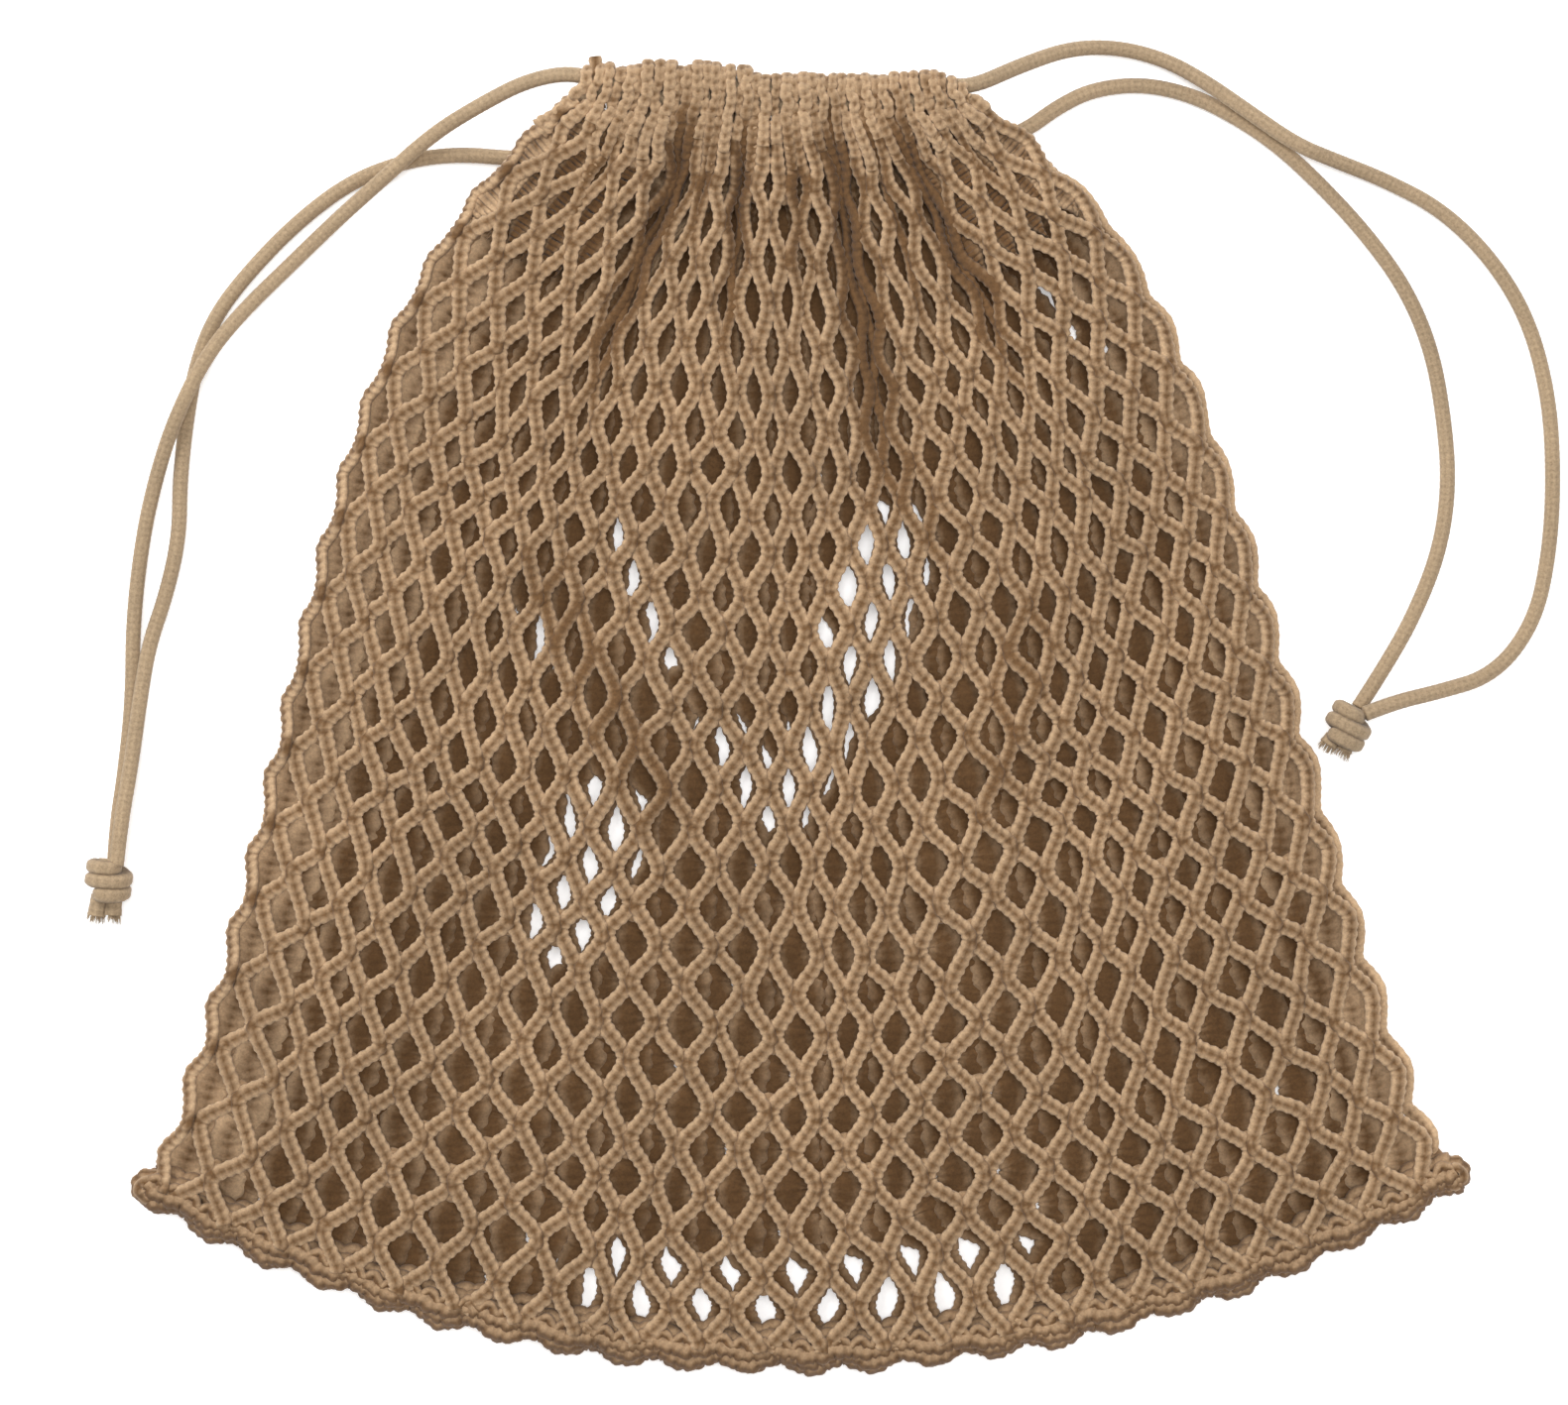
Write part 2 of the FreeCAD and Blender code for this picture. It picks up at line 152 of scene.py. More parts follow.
def mesh_object(name, tubes, material):
    """One object from several closed tubes. Each tube is (rings, shade): rings N x K x 3 in metres,
    shade N x K from 0, light, to 1, dark: painted shade, with some tone, kept as the shade attribute."""
    points, shades, quads, caps = [], [], [], []
    offset = 0
    for rings, shade in tubes:
        n, k = rings.shape[:2]
        points.append(rings.reshape(-1, 3))
        shades.append(shade.reshape(-1))
        index = offset + np.arange(n * k).reshape(n, k)
        beside = np.roll(index, -1, axis=1)
        quads.append(np.stack([index[:-1], beside[:-1], beside[1:], index[1:]], axis=-1).reshape(-1, 4))
        caps += [index[0][::-1], index[-1]]
        offset += n * k
    points = np.concatenate(points).astype(np.float32)
    quads = np.concatenate(quads)
    loops = np.concatenate([quads.reshape(-1)] + caps).astype(np.int32)
    totals = np.concatenate([np.full(len(quads), 4), [len(cap) for cap in caps]]).astype(np.int32)
    starts = np.concatenate([[0], np.cumsum(totals)[:-1]]).astype(np.int32)
    mesh = bpy.data.meshes.new(name)
    mesh.vertices.add(len(points))
    mesh.vertices.foreach_set("co", points.reshape(-1))
    mesh.loops.add(len(loops))
    mesh.loops.foreach_set("vertex_index", loops)
    mesh.polygons.add(len(totals))
    mesh.polygons.foreach_set("loop_start", starts)
    mesh.polygons.foreach_set("loop_total", totals)
    mesh.update(calc_edges=True)
    mesh.validate()
    mesh.polygons.foreach_set("use_smooth", np.ones(len(totals), bool))
    attribute = mesh.attributes.new("shade", "FLOAT", "POINT")
    attribute.data.foreach_set("value", np.concatenate(shades).astype(np.float32))
    mesh.materials.append(material)
    return new_object(name, mesh)


# ---- materials


# Sockets of a colour mix: its two colours, the light one and the dark one that painted shade mixes towards,
# and its result.
MIX_LIGHT, MIX_DARK, MIX_RESULT = 6, 7, 2
MOTTLE_SCALE = 38.0
FIBRE_RELIEF = 0.00025


def set_inputs(node, values):
    """Gives the node's inputs of these names their values."""
    for name, value in values.items():
        node.inputs[name].default_value = value


def yarn_material(name, light, dark, fibre_scale, bump, sheen):
    """Matt cotton, with painted shade: the shade attribute mixes the light colour towards the dark one,
    lighter on the crests and darker in the grooves. Mottled, with fine fibres.
    """
    material = bpy.data.materials.new(name)
    material.use_nodes = True
    tree = material.node_tree
    nodes, links = tree.nodes, tree.links
    shader = nodes["Principled BSDF"]
    set_inputs(shader, {"Sheen Weight": sheen, "Sheen Roughness": 0.5, "Specular IOR Level": 0.2})
    place = nodes.new("ShaderNodeTexCoord")
    shade = nodes.new("ShaderNodeAttribute")
    shade.attribute_name = "shade"

    def noise(scale, detail, roughness):
        """A noise on the object's own coordinates."""
        node = nodes.new("ShaderNodeTexNoise")
        set_inputs(node, {"Scale": scale, "Detail": detail, "Roughness": roughness})
        links.new(place.outputs["Object"], node.inputs["Vector"])
        return node.outputs["Fac"]

    mottle = noise(MOTTLE_SCALE, 3.0, 0.6)
    fibres = noise(fibre_scale, 4.0, 0.7)
    mixed = nodes.new("ShaderNodeMix")
    mixed.data_type = "RGBA"
    mixed.inputs[MIX_LIGHT].default_value = (*light, 1)
    mixed.inputs[MIX_DARK].default_value = (*dark, 1)
    links.new(shade.outputs["Fac"], mixed.inputs[0])

    def scaled(source, low, high):
        """A noise, which stays between about 0.3 and 0.7, spread from low to high."""
        ranged = nodes.new("ShaderNodeMapRange")
        set_inputs(ranged, {"From Min": 0.3, "From Max": 0.7, "To Min": low, "To Max": high})
        links.new(source, ranged.inputs["Value"])
        return ranged.outputs["Result"]

    product = nodes.new("ShaderNodeMath")
    product.operation = "MULTIPLY"
    links.new(scaled(mottle, 0.90, 1.10), product.inputs[0])
    links.new(scaled(fibres, 0.74, 1.26), product.inputs[1])
    toned = nodes.new("ShaderNodeVectorMath")
    toned.operation = "SCALE"
    links.new(mixed.outputs[MIX_RESULT], toned.inputs[0])
    links.new(product.outputs[0], toned.inputs["Scale"])
    links.new(toned.outputs[0], shader.inputs["Base Color"])

    links.new(scaled(fibres, 0.82, 0.98), shader.inputs["Roughness"])
    relief = nodes.new("ShaderNodeBump")
    set_inputs(relief, {"Strength": bump, "Distance": FIBRE_RELIEF})
    links.new(fibres, relief.inputs["Height"])
    links.new(relief.outputs["Normal"], shader.inputs["Normal"])
    return material


# The dark colours are the full painted shade that the shade attribute mixes towards.
NET_YARN = yarn_material("net_yarn", light=(0.500, 0.343, 0.206), dark=(0.130, 0.067, 0.027),
                         fibre_scale=1500.0, bump=0.7, sheen=0.12)
CORD_COTTON = yarn_material("cord_cotton", light=(0.368, 0.269, 0.168), dark=(0.145, 0.095, 0.05),
                            fibre_scale=1800.0, bump=0.4, sheen=0.12)

# ---- cords

CORD_DIAMETER = 0.0035
CORD_STEP = 0.00042
CORD_SIDES = 16
PLAIT_PITCH = 0.0062  # length in which a strand goes half round the braid
PLAIT_STRANDS = 4  # strands that turn each way
LOW = 0.00175  # a cord's middle where it lies on the surface

# Each free cord from inside its sleeve to its knot.
LEFT_UPPER = [
    (-0.0205, 0.1398, 0.014), (-0.0363, 0.1398, 0.014), (-0.0435, 0.1424, 0.014),
    (-0.051, 0.1462, 0.0134), (-0.062, 0.1446, 0.0114), (-0.073, 0.1394, 0.0084), (-0.084, 0.1330, 0.0064),
    (-0.096, 0.1222, 0.0064), (-0.1068, 0.1132, 0.003), (-0.118, 0.1026, LOW),
    (-0.128, 0.0926, 0.003), (-0.136, 0.082, 0.0066), (-0.143, 0.0675, 0.0066),
    (-0.1476, 0.055, 0.003), (-0.1509, 0.041, LOW), (-0.1531, 0.022, LOW),
    (-0.1532, 0.004, LOW), (-0.1549, -0.013, 0.0022), (-0.1566, -0.025, 0.0036),
    (-0.157, -0.034, 0.004),
]
LEFT_LOWER = [
    (-0.0255, 0.1274, 0.0031), (-0.0463, 0.1274, 0.0031), (-0.056, 0.1274, 0.0031),
    (-0.067, 0.128, 0.0023), (-0.0785, 0.129, LOW), (-0.09, 0.1276, LOW),
    (-0.103, 0.1228, LOW), (-0.115, 0.1138, LOW), (-0.126, 0.1026, LOW),
    (-0.1344, 0.0918, LOW), (-0.1388, 0.08, LOW), (-0.141, 0.067, LOW),
    (-0.1423, 0.054, LOW), (-0.1425, 0.041, LOW), (-0.1454, 0.028, 0.002),
    (-0.1492, 0.016, 0.0042), (-0.151, 0.003, 0.0058), (-0.153, -0.012, 0.0062),
    (-0.155, -0.024, 0.0074), (-0.156, -0.034, 0.0078),
]
RIGHT_UPPER = [
    (0.0135, 0.1438, 0.014), (0.0323, 0.1432, 0.014), (0.0388, 0.1426, 0.014),
    (0.050, 0.1480, 0.011), (0.0615, 0.1528, 0.0048), (0.0725, 0.1535, 0.002),
    (0.0835, 0.1506, 0.0024), (0.0925, 0.145, 0.0056), (0.1026, 0.1378, 0.0064),
    (0.113, 0.1306, 0.0064), (0.1225, 0.1272, 0.0036), (0.134, 0.123, 0.0019),
    (0.147, 0.1163, LOW), (0.1585, 0.105, LOW), (0.167, 0.091, LOW),
    (0.1716, 0.0735, LOW), (0.1727, 0.0555, LOW), (0.1718, 0.038, LOW),
    (0.1684, 0.0216, LOW), (0.159, 0.0094, 0.0022), (0.145, 0.0054, 0.0044),
    (0.136, 0.0034, 0.0066), (0.1286, 0.0006, 0.0072),
]
RIGHT_LOWER = [
    (0.0155, 0.1314, 0.0031), (0.0363, 0.1314, 0.0031), (0.0436, 0.1314, 0.0031),
    (0.0515, 0.1342, 0.0028), (0.059, 0.1398, 0.0021), (0.067, 0.1438, LOW),
    (0.078, 0.1451, LOW), (0.089, 0.1428, LOW), (0.099, 0.138, LOW),
    (0.109, 0.1314, LOW), (0.119, 0.1222, LOW), (0.1296, 0.1108, LOW),
    (0.1388, 0.0982, LOW), (0.1448, 0.084, LOW), (0.1476, 0.068, LOW),
    (0.1487, 0.053, LOW), (0.1466, 0.038, LOW), (0.1406, 0.023, 0.0019),
    (0.1336, 0.011, 0.003), (0.1276, 0.002, 0.004),
]
# Each cord's hidden stretch: through the rest of the back sleeve, round the far side of the
# mouth and into the front sleeve.
LEFT_INNER = [
    (-0.0265, 0.1274, 0.0031), (0.005, 0.1274, 0.0031), (0.0363, 0.1274, 0.0031),
    (0.0405, 0.1274, 0.0031), (0.0432, 0.1282, 0.0064), (0.0436, 0.1322, 0.0076),
    (0.0422, 0.1366, 0.0086), (0.039, 0.1388, 0.014), (0.0343, 0.1392, 0.014),
]
RIGHT_INNER = [
    (0.0145, 0.1314, 0.0031), (-0.016, 0.1314, 0.0031), (-0.0463, 0.1314, 0.0031),
    (-0.0498, 0.1314, 0.0031), (-0.0518, 0.1354, 0.006), (-0.0504, 0.1402, 0.0076),
    (-0.0462, 0.1428, 0.014), (-0.0413, 0.1432, 0.014),
]


def smooth_line(route):
    """The points of a smooth curve with the route's points as its control points."""
    data = bpy.data.curves.new("route", "CURVE")
    data.dimensions = "3D"
    spline = data.splines.new("NURBS")
    spline.points.add(len(route) - 1)
    for point, place in zip(spline.points, route):
        point.co = (*place, 1)
    spline.order_u = 3
    spline.use_endpoint_u = True
    spline.resolution_u = 24
    carrier = bpy.data.objects.new("route", data)
    mesh = bpy.data.meshes.new_from_object(carrier)
    line = np.array([vertex.co for vertex in mesh.vertices], float)
    bpy.data.objects.remove(carrier)
    bpy.data.meshes.remove(mesh)
    bpy.data.curves.remove(data)
    return line


def braided_tube(line, radius=CORD_DIAMETER / 2, flare=None):
    """A braided cord round a line: strands that cross in both directions, as rings and shade. The shade is
    painted shade, darker where the strands dip between their crossings.
    """
    tangents, normals = steady_normals(line)
    binormals = np.cross(tangents, normals)
    along = arc_lengths(line)[:, None]
    turn = ring_angles(CORD_SIDES)
    wind = 2 * math.pi * along / PLAIT_PITCH
    one_way = np.cos(PLAIT_STRANDS * turn + wind * PLAIT_STRANDS / 2)
    other_way = np.cos(PLAIT_STRANDS * turn - wind * PLAIT_STRANDS / 2)
    relief = one_way * other_way
    size = radius * (0.985 + 0.028 * relief)
    if flare is not None:
        size = size * flare[:, None]
    rings = rings_round(line, size * np.cos(turn), normals, size * np.sin(turn), binormals)
    # Painted shade: darker where the braid's strands dip between their crossings, lighter on the crests.
    return rings, np.clip(0.16 - 0.22 * relief, 0, 1)


# Each free cord: side, strand, route, length, and the sleeve and place it comes out of.
CORDS = [
    ("left", "upper", LEFT_UPPER, 0.255, "front", (-0.0413, 0.1398, 0.014)),
    ("left", "lower", LEFT_LOWER, 0.248, "back", (-0.0463, 0.1274, 0.0031)),
    ("right", "upper", RIGHT_UPPER, 0.292, "front", (0.0343, 0.1438, 0.014)),
    ("right", "lower", RIGHT_LOWER, 0.243, "back", (0.0363, 0.1314, 0.0031)),
]
cord_pieces = {}
for side, strand, route, cord_length, sleeve, cord_exit in CORDS:
    cord_line = resampled(smooth_line(route), CORD_STEP)
    cord_piece = mesh_object(f"drawstring_{side}_{strand}", [braided_tube(cord_line)], CORD_COTTON)
    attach(cord_piece, f"{side}_drawstring")
    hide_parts(f"{side}_cord_{strand}", f"{side}_cord_{sleeve}_feed")
    cord_pieces[side, strand] = (cord_piece, cord_line, cord_length, cord_exit)

for side, route in (("left", LEFT_INNER), ("right", RIGHT_INNER)):
    inner_line = resampled(smooth_line(route), CORD_STEP)
    inner_piece = mesh_object(f"drawstring_{side}_inner", [braided_tube(inner_line)], CORD_COTTON)
    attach(inner_piece, "bag_back")
    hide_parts(f"{side}_cord_turn", f"{side}_cord_back_run")

# ---- knots and tails

KNOT_TURNS = 2.35
KNOT_COIL_RADIUS = 0.0036
KNOT_WRAP = (0.00178, 0.0020)  # half the wrap's width along the knot, half its depth
KNOT_RISE = 0.0036  # from the knot's middle to the last wrap's middle
KNOT_SWAY = 0.0006  # how far the wraps lean to and fro along the knot
KNOT_TUCK = 0.09  # share of the coil that turns in at each end
KNOT_RINGS = 260
KNOT_SIDES = 24
KNOT_CORE = (0.0046, 0.0027)  # half the length of the core inside the coil, and its radius
CORE_RINGS = 12
DOUBLE_GROOVE = 0.10  # depth of the groove between the two strands of a wrap
TAIL_RADIUS = 0.00195
TAIL_START = 0.0038  # from the knot's middle to the tails' roots
TAIL_APART = 0.00165  # from the knot's axis to a tail's middle
TAIL_UNEVEN = 0.0003  # how much one tail is longer and the other shorter
TAIL_RINGS = 20
TAIL_FIBRES = 46
FIBRE_RADIUS = 0.00014
FIBRE_ROOT = 0.0005  # how far inside the tail a fibre starts
FIBRE_REACH = (0.0011, 0.0026)  # shortest and longest
FIBRE_SPLAY = (-0.0001, 0.0006)  # how far a fibre's end stands out


def axis_frame(axis):
    """The unit vectors along a level axis, level across it, and up."""
    along = unit(np.array(axis, float))
    return along, np.cross(UP, along), UP


def knot_tubes(centre, axis, start_turn):
    """An overhand knot tied in both strands: the doubled cord wound round itself, ends tucked in."""
    along, across, up = axis_frame(axis)
    t = np.linspace(0, 1, KNOT_RINGS)
    angle = start_turn + 2 * math.pi * KNOT_TURNS * t
    radius = KNOT_COIL_RADIUS * (0.25 + 0.75 * smoothstep(np.minimum(t, 1 - t) / KNOT_TUCK))
    rise = KNOT_RISE * (2 * t - 1) + KNOT_SWAY * np.sin(angle + 0.6)
    coil = (rise[:, None] * along + (radius * np.cos(angle))[:, None] * across
            + (radius * np.sin(angle))[:, None] * up)
    tangents = unit(np.gradient(coil, axis=0))
    outward = square_to(tangents, unit(coil - (coil @ along)[:, None] * along))
    side = np.cross(tangents, outward)

    turn = ring_angles(KNOT_SIDES)
    from_top = np.minimum(turn, 2 * math.pi - turn)
    wind = 2 * math.pi * arc_lengths(coil)[:, None] / PLAIT_PITCH
    relief = np.cos(5 * turn + wind * 2) * np.cos(5 * turn - wind * 2)
    groove = bell(from_top, 0.22)
    crease = np.clip((from_top - 0.6) / 0.7, 0, 1) ** 2
    grow = (0.985 + 0.022 * relief) * (1 - DOUBLE_GROOVE * groove)
    half_width, half_depth = KNOT_WRAP
    rings = rings_round(np.array(centre) + coil, half_depth * grow * np.cos(turn), outward,
                        half_width * grow * np.sin(turn), side)
    # Painted shade: darker in the strands' groove, where the wraps meet and where the braid dips.
    shade = np.clip(0.10 - 0.16 * relief + 0.18 * groove + 0.75 * crease, 0, 1)

    core_half, core_radius = KNOT_CORE
    core_line = np.array(centre) + np.linspace(-core_half, core_half, CORE_RINGS)[:, None] * along
    return [(rings, shade), braided_tube(core_line, core_radius)]


def tail_tubes(centre, axis, length, rng):
    """Two short cut ends beside each other, frayed at the tip."""
    along, across, up = axis_frame(axis)
    t = np.linspace(0, 1, TAIL_RINGS)
    tubes = []
    for side in (-1, 1):
        root = np.array(centre) + TAIL_START * along + side * TAIL_APART * across
        tip = root + (length - TAIL_UNEVEN * side) * along + side * 0.0002 * across
        tubes.append(braided_tube(root + t[:, None] * (tip - root), TAIL_RADIUS, 1 + 0.10 * t ** 3))
        for _ in range(TAIL_FIBRES):
            angle = rng.uniform(0, 2 * math.pi)
            reach = TAIL_RADIUS * math.sqrt(rng.uniform(0.05, 1.0))
            spread = across * math.cos(angle) + up * math.sin(angle)
            base = tip - FIBRE_ROOT * along + spread * reach * 0.92
            end = base + along * rng.uniform(*FIBRE_REACH) + spread * rng.uniform(*FIBRE_SPLAY)
            tubes.append(thin_fibre(base, end))
    return tubes


def thin_fibre(base, end):
    """One cotton fibre, thinner at its end."""
    line = base + np.linspace(0, 1, 4)[:, None] * (end - base)
    tangents, normals = steady_normals(line, first=(0.3, 0.5, 0.8))
    turn = ring_angles(5)
    size = FIBRE_RADIUS * np.linspace(1, 0.35, len(line))[:, None]
    rings = rings_round(line, size * np.cos(turn), normals, size * np.sin(turn), np.cross(tangents, normals))
    return rings, np.full(rings.shape[:2], 0.12)


# Each knot: side, middle, axis, length of its tails, and where its coil starts to turn.
KNOTS = [
    ("left", (-0.158, -0.0372, 0.0058), (-0.12, -1.0, 0.0), 0.0045, 0.6),
    ("right", (0.125, -0.0022, 0.0058), (-0.50, -0.87, 0.0), 0.0019, 0.9),
]
for side, centre, axis, tail_length, start_turn in KNOTS:
    knot_piece = mesh_object(f"{side}_overhand_knot", knot_tubes(centre, axis, start_turn), CORD_COTTON)
    cut_ends = tail_tubes(centre, axis, tail_length, RNG)
    tail_piece = mesh_object(f"{side}_frayed_tails", cut_ends, CORD_COTTON)
    for end_piece, node in ((knot_piece, f"{side}_knot"), (tail_piece, f"{side}_cord_tails")):
        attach(end_piece, f"{side}_drawstring")
        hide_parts(node)
    for strand in ("upper", "lower"):
        cord_piece, cord_line, cord_length, cord_exit = cord_pieces[side, strand]

# ---- the net's surfaces, in millimetres

STRANDS = 44  # across one layer
CELL_ROWS = 15.3  # zigzag periods from the seam to the mouth band
BASE_LEFT = (-148.0, -107.0)
BASE_MIDDLE = (-4.0, -144.8)
BASE_RIGHT = (148.0, -104.0)
MOUTH_LEFT = (-51.5, 140.5)
MOUTH_RIGHT = (41.5, 139.0)
BAND_EDGE_Y = 134.5  # where the net enters the front mouth band
BACK_SHARE = 0.957  # how far up the columns the back layer reaches
COLUMN_LENGTH = 281.0


def circle_through(one, two, three):
    """Centre and radius of the circle through three points."""
    (ax, ay), (bx, by), (cx, cy) = one, two, three
    d = 2 * (ax * (by - cy) + bx * (cy - ay) + cx * (ay - by))
    a, b, c = ax * ax + ay * ay, bx * bx + by * by, cx * cx + cy * cy
    x = (a * (by - cy) + b * (cy - ay) + c * (ay - by)) / d
    y = (a * (cx - bx) + b * (ax - cx) + c * (bx - ax)) / d
    return x, y, math.hypot(ax - x, ay - y)


BASE_X, BASE_Y, BASE_RADIUS = circle_through(BASE_LEFT, BASE_MIDDLE, BASE_RIGHT)
BASE_START = math.atan2(BASE_LEFT[1] - BASE_Y, BASE_LEFT[0] - BASE_X)
BASE_END = math.atan2(BASE_RIGHT[1] - BASE_Y, BASE_RIGHT[0] - BASE_X)


def base_point(u, outward=0.0):
    """The point on the bowed base at u from 0, left, to 1, right."""
    angle = BASE_START + u * (BASE_END - BASE_START)
    radius = BASE_RADIUS + outward
    return BASE_X + radius * np.cos(angle), BASE_Y + radius * np.sin(angle)


def noise_field(seed, wavelength):
    """A smooth random function of x and y between about -1 and 1."""
    rng = np.random.default_rng(seed)
    waves = [(rng.uniform(0, 2 * math.pi), rng.uniform(0.7, 1.5), rng.uniform(0, 2 * math.pi))
             for _ in range(7)]

    def field(x, y):
        total = 0
        for heading, rate, phase in waves:
            k = 2 * math.pi * rate / wavelength
            total = total + np.sin(k * (x * math.cos(heading) + y * math.sin(heading)) + phase)
        return total / 3.2

    return field


DRIFT_X, DRIFT_Y, DRIFT_Z = noise_field(1, 85.0), noise_field(2, 75.0), noise_field(3, 60.0)
FINE_X, FINE_Y = noise_field(4, 24.0), noise_field(5, 24.0)

# The gathered pleats. Each valley: place across the net, strands tucked away in it, half its width,
# depth in millimetres, and how far down the bag it runs.
VALLEYS = [
    (0.105, 1.0, 0.018, 1.2, 20.0),
    (0.250, 3.4, 0.044, 7.0, 56.0),
    (0.335, 1.2, 0.018, 2.0, 26.0),
    (0.415, 1.7, 0.024, 5.2, 40.0),
    (0.515, 0.7, 0.016, 2.4, 34.0),
    (0.614, 3.2, 0.044, 7.0, 74.0),
    (0.712, 1.2, 0.020, 2.6, 38.0),
    (0.800, 3.0, 0.040, 6.6, 56.0),
    (0.915, 0.9, 0.018, 1.2, 18.0),
]
# Long soft folds: x, y of each end, height of the ridge, half its width.
FOLDS = [
    (-70.0, 62.0, -30.0, -46.0, 2.6, 8.0),
    (-100.0, 30.0, -62.0, -34.0, 1.0, 8.0),
    (60.0, 34.0, 26.0, -66.0, 2.4, 9.0),
    (86.0, 14.0, 62.0, -54.0, 1.2, 8.0),
    (24.0, 62.0, -12.0, -24.0, 1.0, 9.0),
]
# Painted shade in the creases beside the folds: x, y of each end, half width, and how dark.
CREASES = [
    (-64.0, 42.0, -27.0, -30.0, 5.0, 0.40),
    (56.0, 34.0, 40.0, -26.0, 5.0, 0.30),
    (20.0, 62.0, 34.0, 34.0, 4.0, 0.30),
]
# Where the holes of both layers lie over each other: ends of a line and its half width.
OPEN_PLACES = [
    (22.0, 40.0, 13.0, 8.0, 8.0),
    (13.0, 8.0, -5.0, -20.0, 6.5),
    (-19.0, -2.0, -9.0, -20.0, 4.0),
    (-46.0, -24.0, -54.0, -47.0, 10.0),
    (-42.0, 42.0, -32.0, 14.0, 2.5),
    (-61.0, 23.0, -59.0, 13.0, 1.5),
    (60.0, 98.0, 69.0, 85.0, 2.0),
]
OPEN_BASE = (-50.0, 50.0, 19.0)  # from x, to x, and how far up from the seam


def line_distance(x, y, x0, y0, x1, y1):
    """How far each point is from a line segment, and where along it, from 0 to 1."""
    dx, dy = x1 - x0, y1 - y0
    t = np.clip(((x - x0) * dx + (y - y0) * dy) / (dx * dx + dy * dy), 0, 1)
    return np.hypot(x - x0 - t * dx, y - y0 - t * dy), t


def openness(x, y, from_seam):
    """1 where the holes of the two layers line up, 0 where the back layer fills the front's holes."""
    total = np.zeros(np.broadcast(x, y).shape)
    for x0, y0, x1, y1, half in OPEN_PLACES:
        total = np.maximum(total, smoothstep((half + 5.0 - line_distance(x, y, x0, y0, x1, y1)[0]) / 5.0))
    left, right, height = OPEN_BASE
    base = smoothstep((x - left) / 10.0 + 1) * smoothstep((right - x) / 10.0 + 1)
    return np.maximum(total, base * smoothstep((height - from_seam) / 7.0 + 1))


def crease_shade(x, y):
    """The painted shade of the front layer where it lies in a crease."""
    total = np.zeros(np.broadcast(x, y).shape)
    for x0, y0, x1, y1, half, dark in CREASES:
        away, t = line_distance(x, y, x0, y0, x1, y1)
        total = total + dark * bell(away, half) * smoothstep(np.minimum(t, 1 - t) * 5)
    return total


def pleats(u, from_mouth):
    """(across, drop, shade) at u: where u goes once the pleats are gathered, from 0 to 1, how far the
    surface drops into a valley, in millimetres, and how deep in a valley it is, from 0 to 1, as painted
    shade."""
    tucked, whole, drop, shade = 0.0, 0.0, 0.0, 0.0
    for place, hidden, half, depth, reach in VALLEYS:
        fade = bell(np.maximum(from_mouth - 8.0, 0), reach) * (0.6 + 0.4 * smoothstep(from_mouth / 14.0))
        share = hidden / STRANDS / (2 * half) * fade
        tucked = tucked + share * half * (np.tanh((u - place) / half) + math.tanh(place / half))
        whole = whole + share * half * (math.tanh((1 - place) / half) + math.tanh(place / half))
        hollow = 1 / np.cosh((u - place) / half) ** 2
        sink = hollow * fade * smoothstep((from_mouth + 7.0) / 16.0)
        drop = drop + depth * sink
        # Painted shade: darker deep in the valleys, more so for deep valleys.
        shade = np.maximum(shade, smoothstep(sink * 1.7 - 0.25) * min(depth / 5.0, 1.0))
    return (u - tucked) / (1 - whole), drop, shade


# Each column of cells is a cubic curve from the seam to the mouth band. How its two handles lean, in
# degrees, and how long they are, by how far to the side the column is, from -1 to 1.
BASE_LEAN = (-0.5, -21.5)  # in the middle, and more for each side
LOW_HANDLE = (93.0, 22.0)  # in the middle, and more at the sides
MOUTH_FAN = (57.0, 3.0)  # at the sides, and more on the right
HIGH_HANDLE = (90.0, 15.0, 5.0)  # in the middle, less at the sides, and less on the right


def flat_place(u, v):
    """x and y of the net at u across and v from the seam, 0, to the mouth band, 1, without pleats."""
    side = 2 * u - 1
    x0, y0 = base_point(u)
    lean = np.radians(BASE_LEAN[0] + BASE_LEAN[1] * side)
    low_handle = LOW_HANDLE[0] + LOW_HANDLE[1] * side * side
    x1 = x0 + low_handle * np.sin(lean)
    y1 = y0 + low_handle * np.cos(lean)
    x3 = MOUTH_LEFT[0] + u * (MOUTH_RIGHT[0] - MOUTH_LEFT[0])
    corner = np.abs(side) ** 6
    y3 = BAND_EDGE_Y + (MOUTH_LEFT[1] - BAND_EDGE_Y) * corner
    fan = np.radians(MOUTH_FAN[0] * side + MOUTH_FAN[1] * side * side) * np.abs(side) ** 0.12
    high_handle = HIGH_HANDLE[0] - (HIGH_HANDLE[1] + HIGH_HANDLE[2] * side) * side * side
    x2 = x3 + high_handle * np.sin(fan)
    y2 = y3 - high_handle * np.cos(fan)
    w = 1 - v
    x = w ** 3 * x0 + 3 * w * w * v * x1 + 3 * w * v * v * x2 + v ** 3 * x3
    y = w ** 3 * y0 + 3 * w * w * v * y1 + 3 * w * v * v * y2 + v ** 3 * y3
    return x, y


FOLD_RADIUS = 8.0  # how far in from the side the layers start to turn into each other
MIDDLE_X = -4.5
FRONT_LEVEL = (8.9, 12.5)  # height of the front layer at the seam and at the mouth
FRONT_BAND_RISE = 3.9  # and how much higher it is right at the band
SHOULDER_RISE = 1.9  # the soft hump below the band
BACK_LEVEL = 1.9
BACK_BAND_RISE = 1.2
BACK_GATHER = 0.36  # how much narrower the back layer is at its band


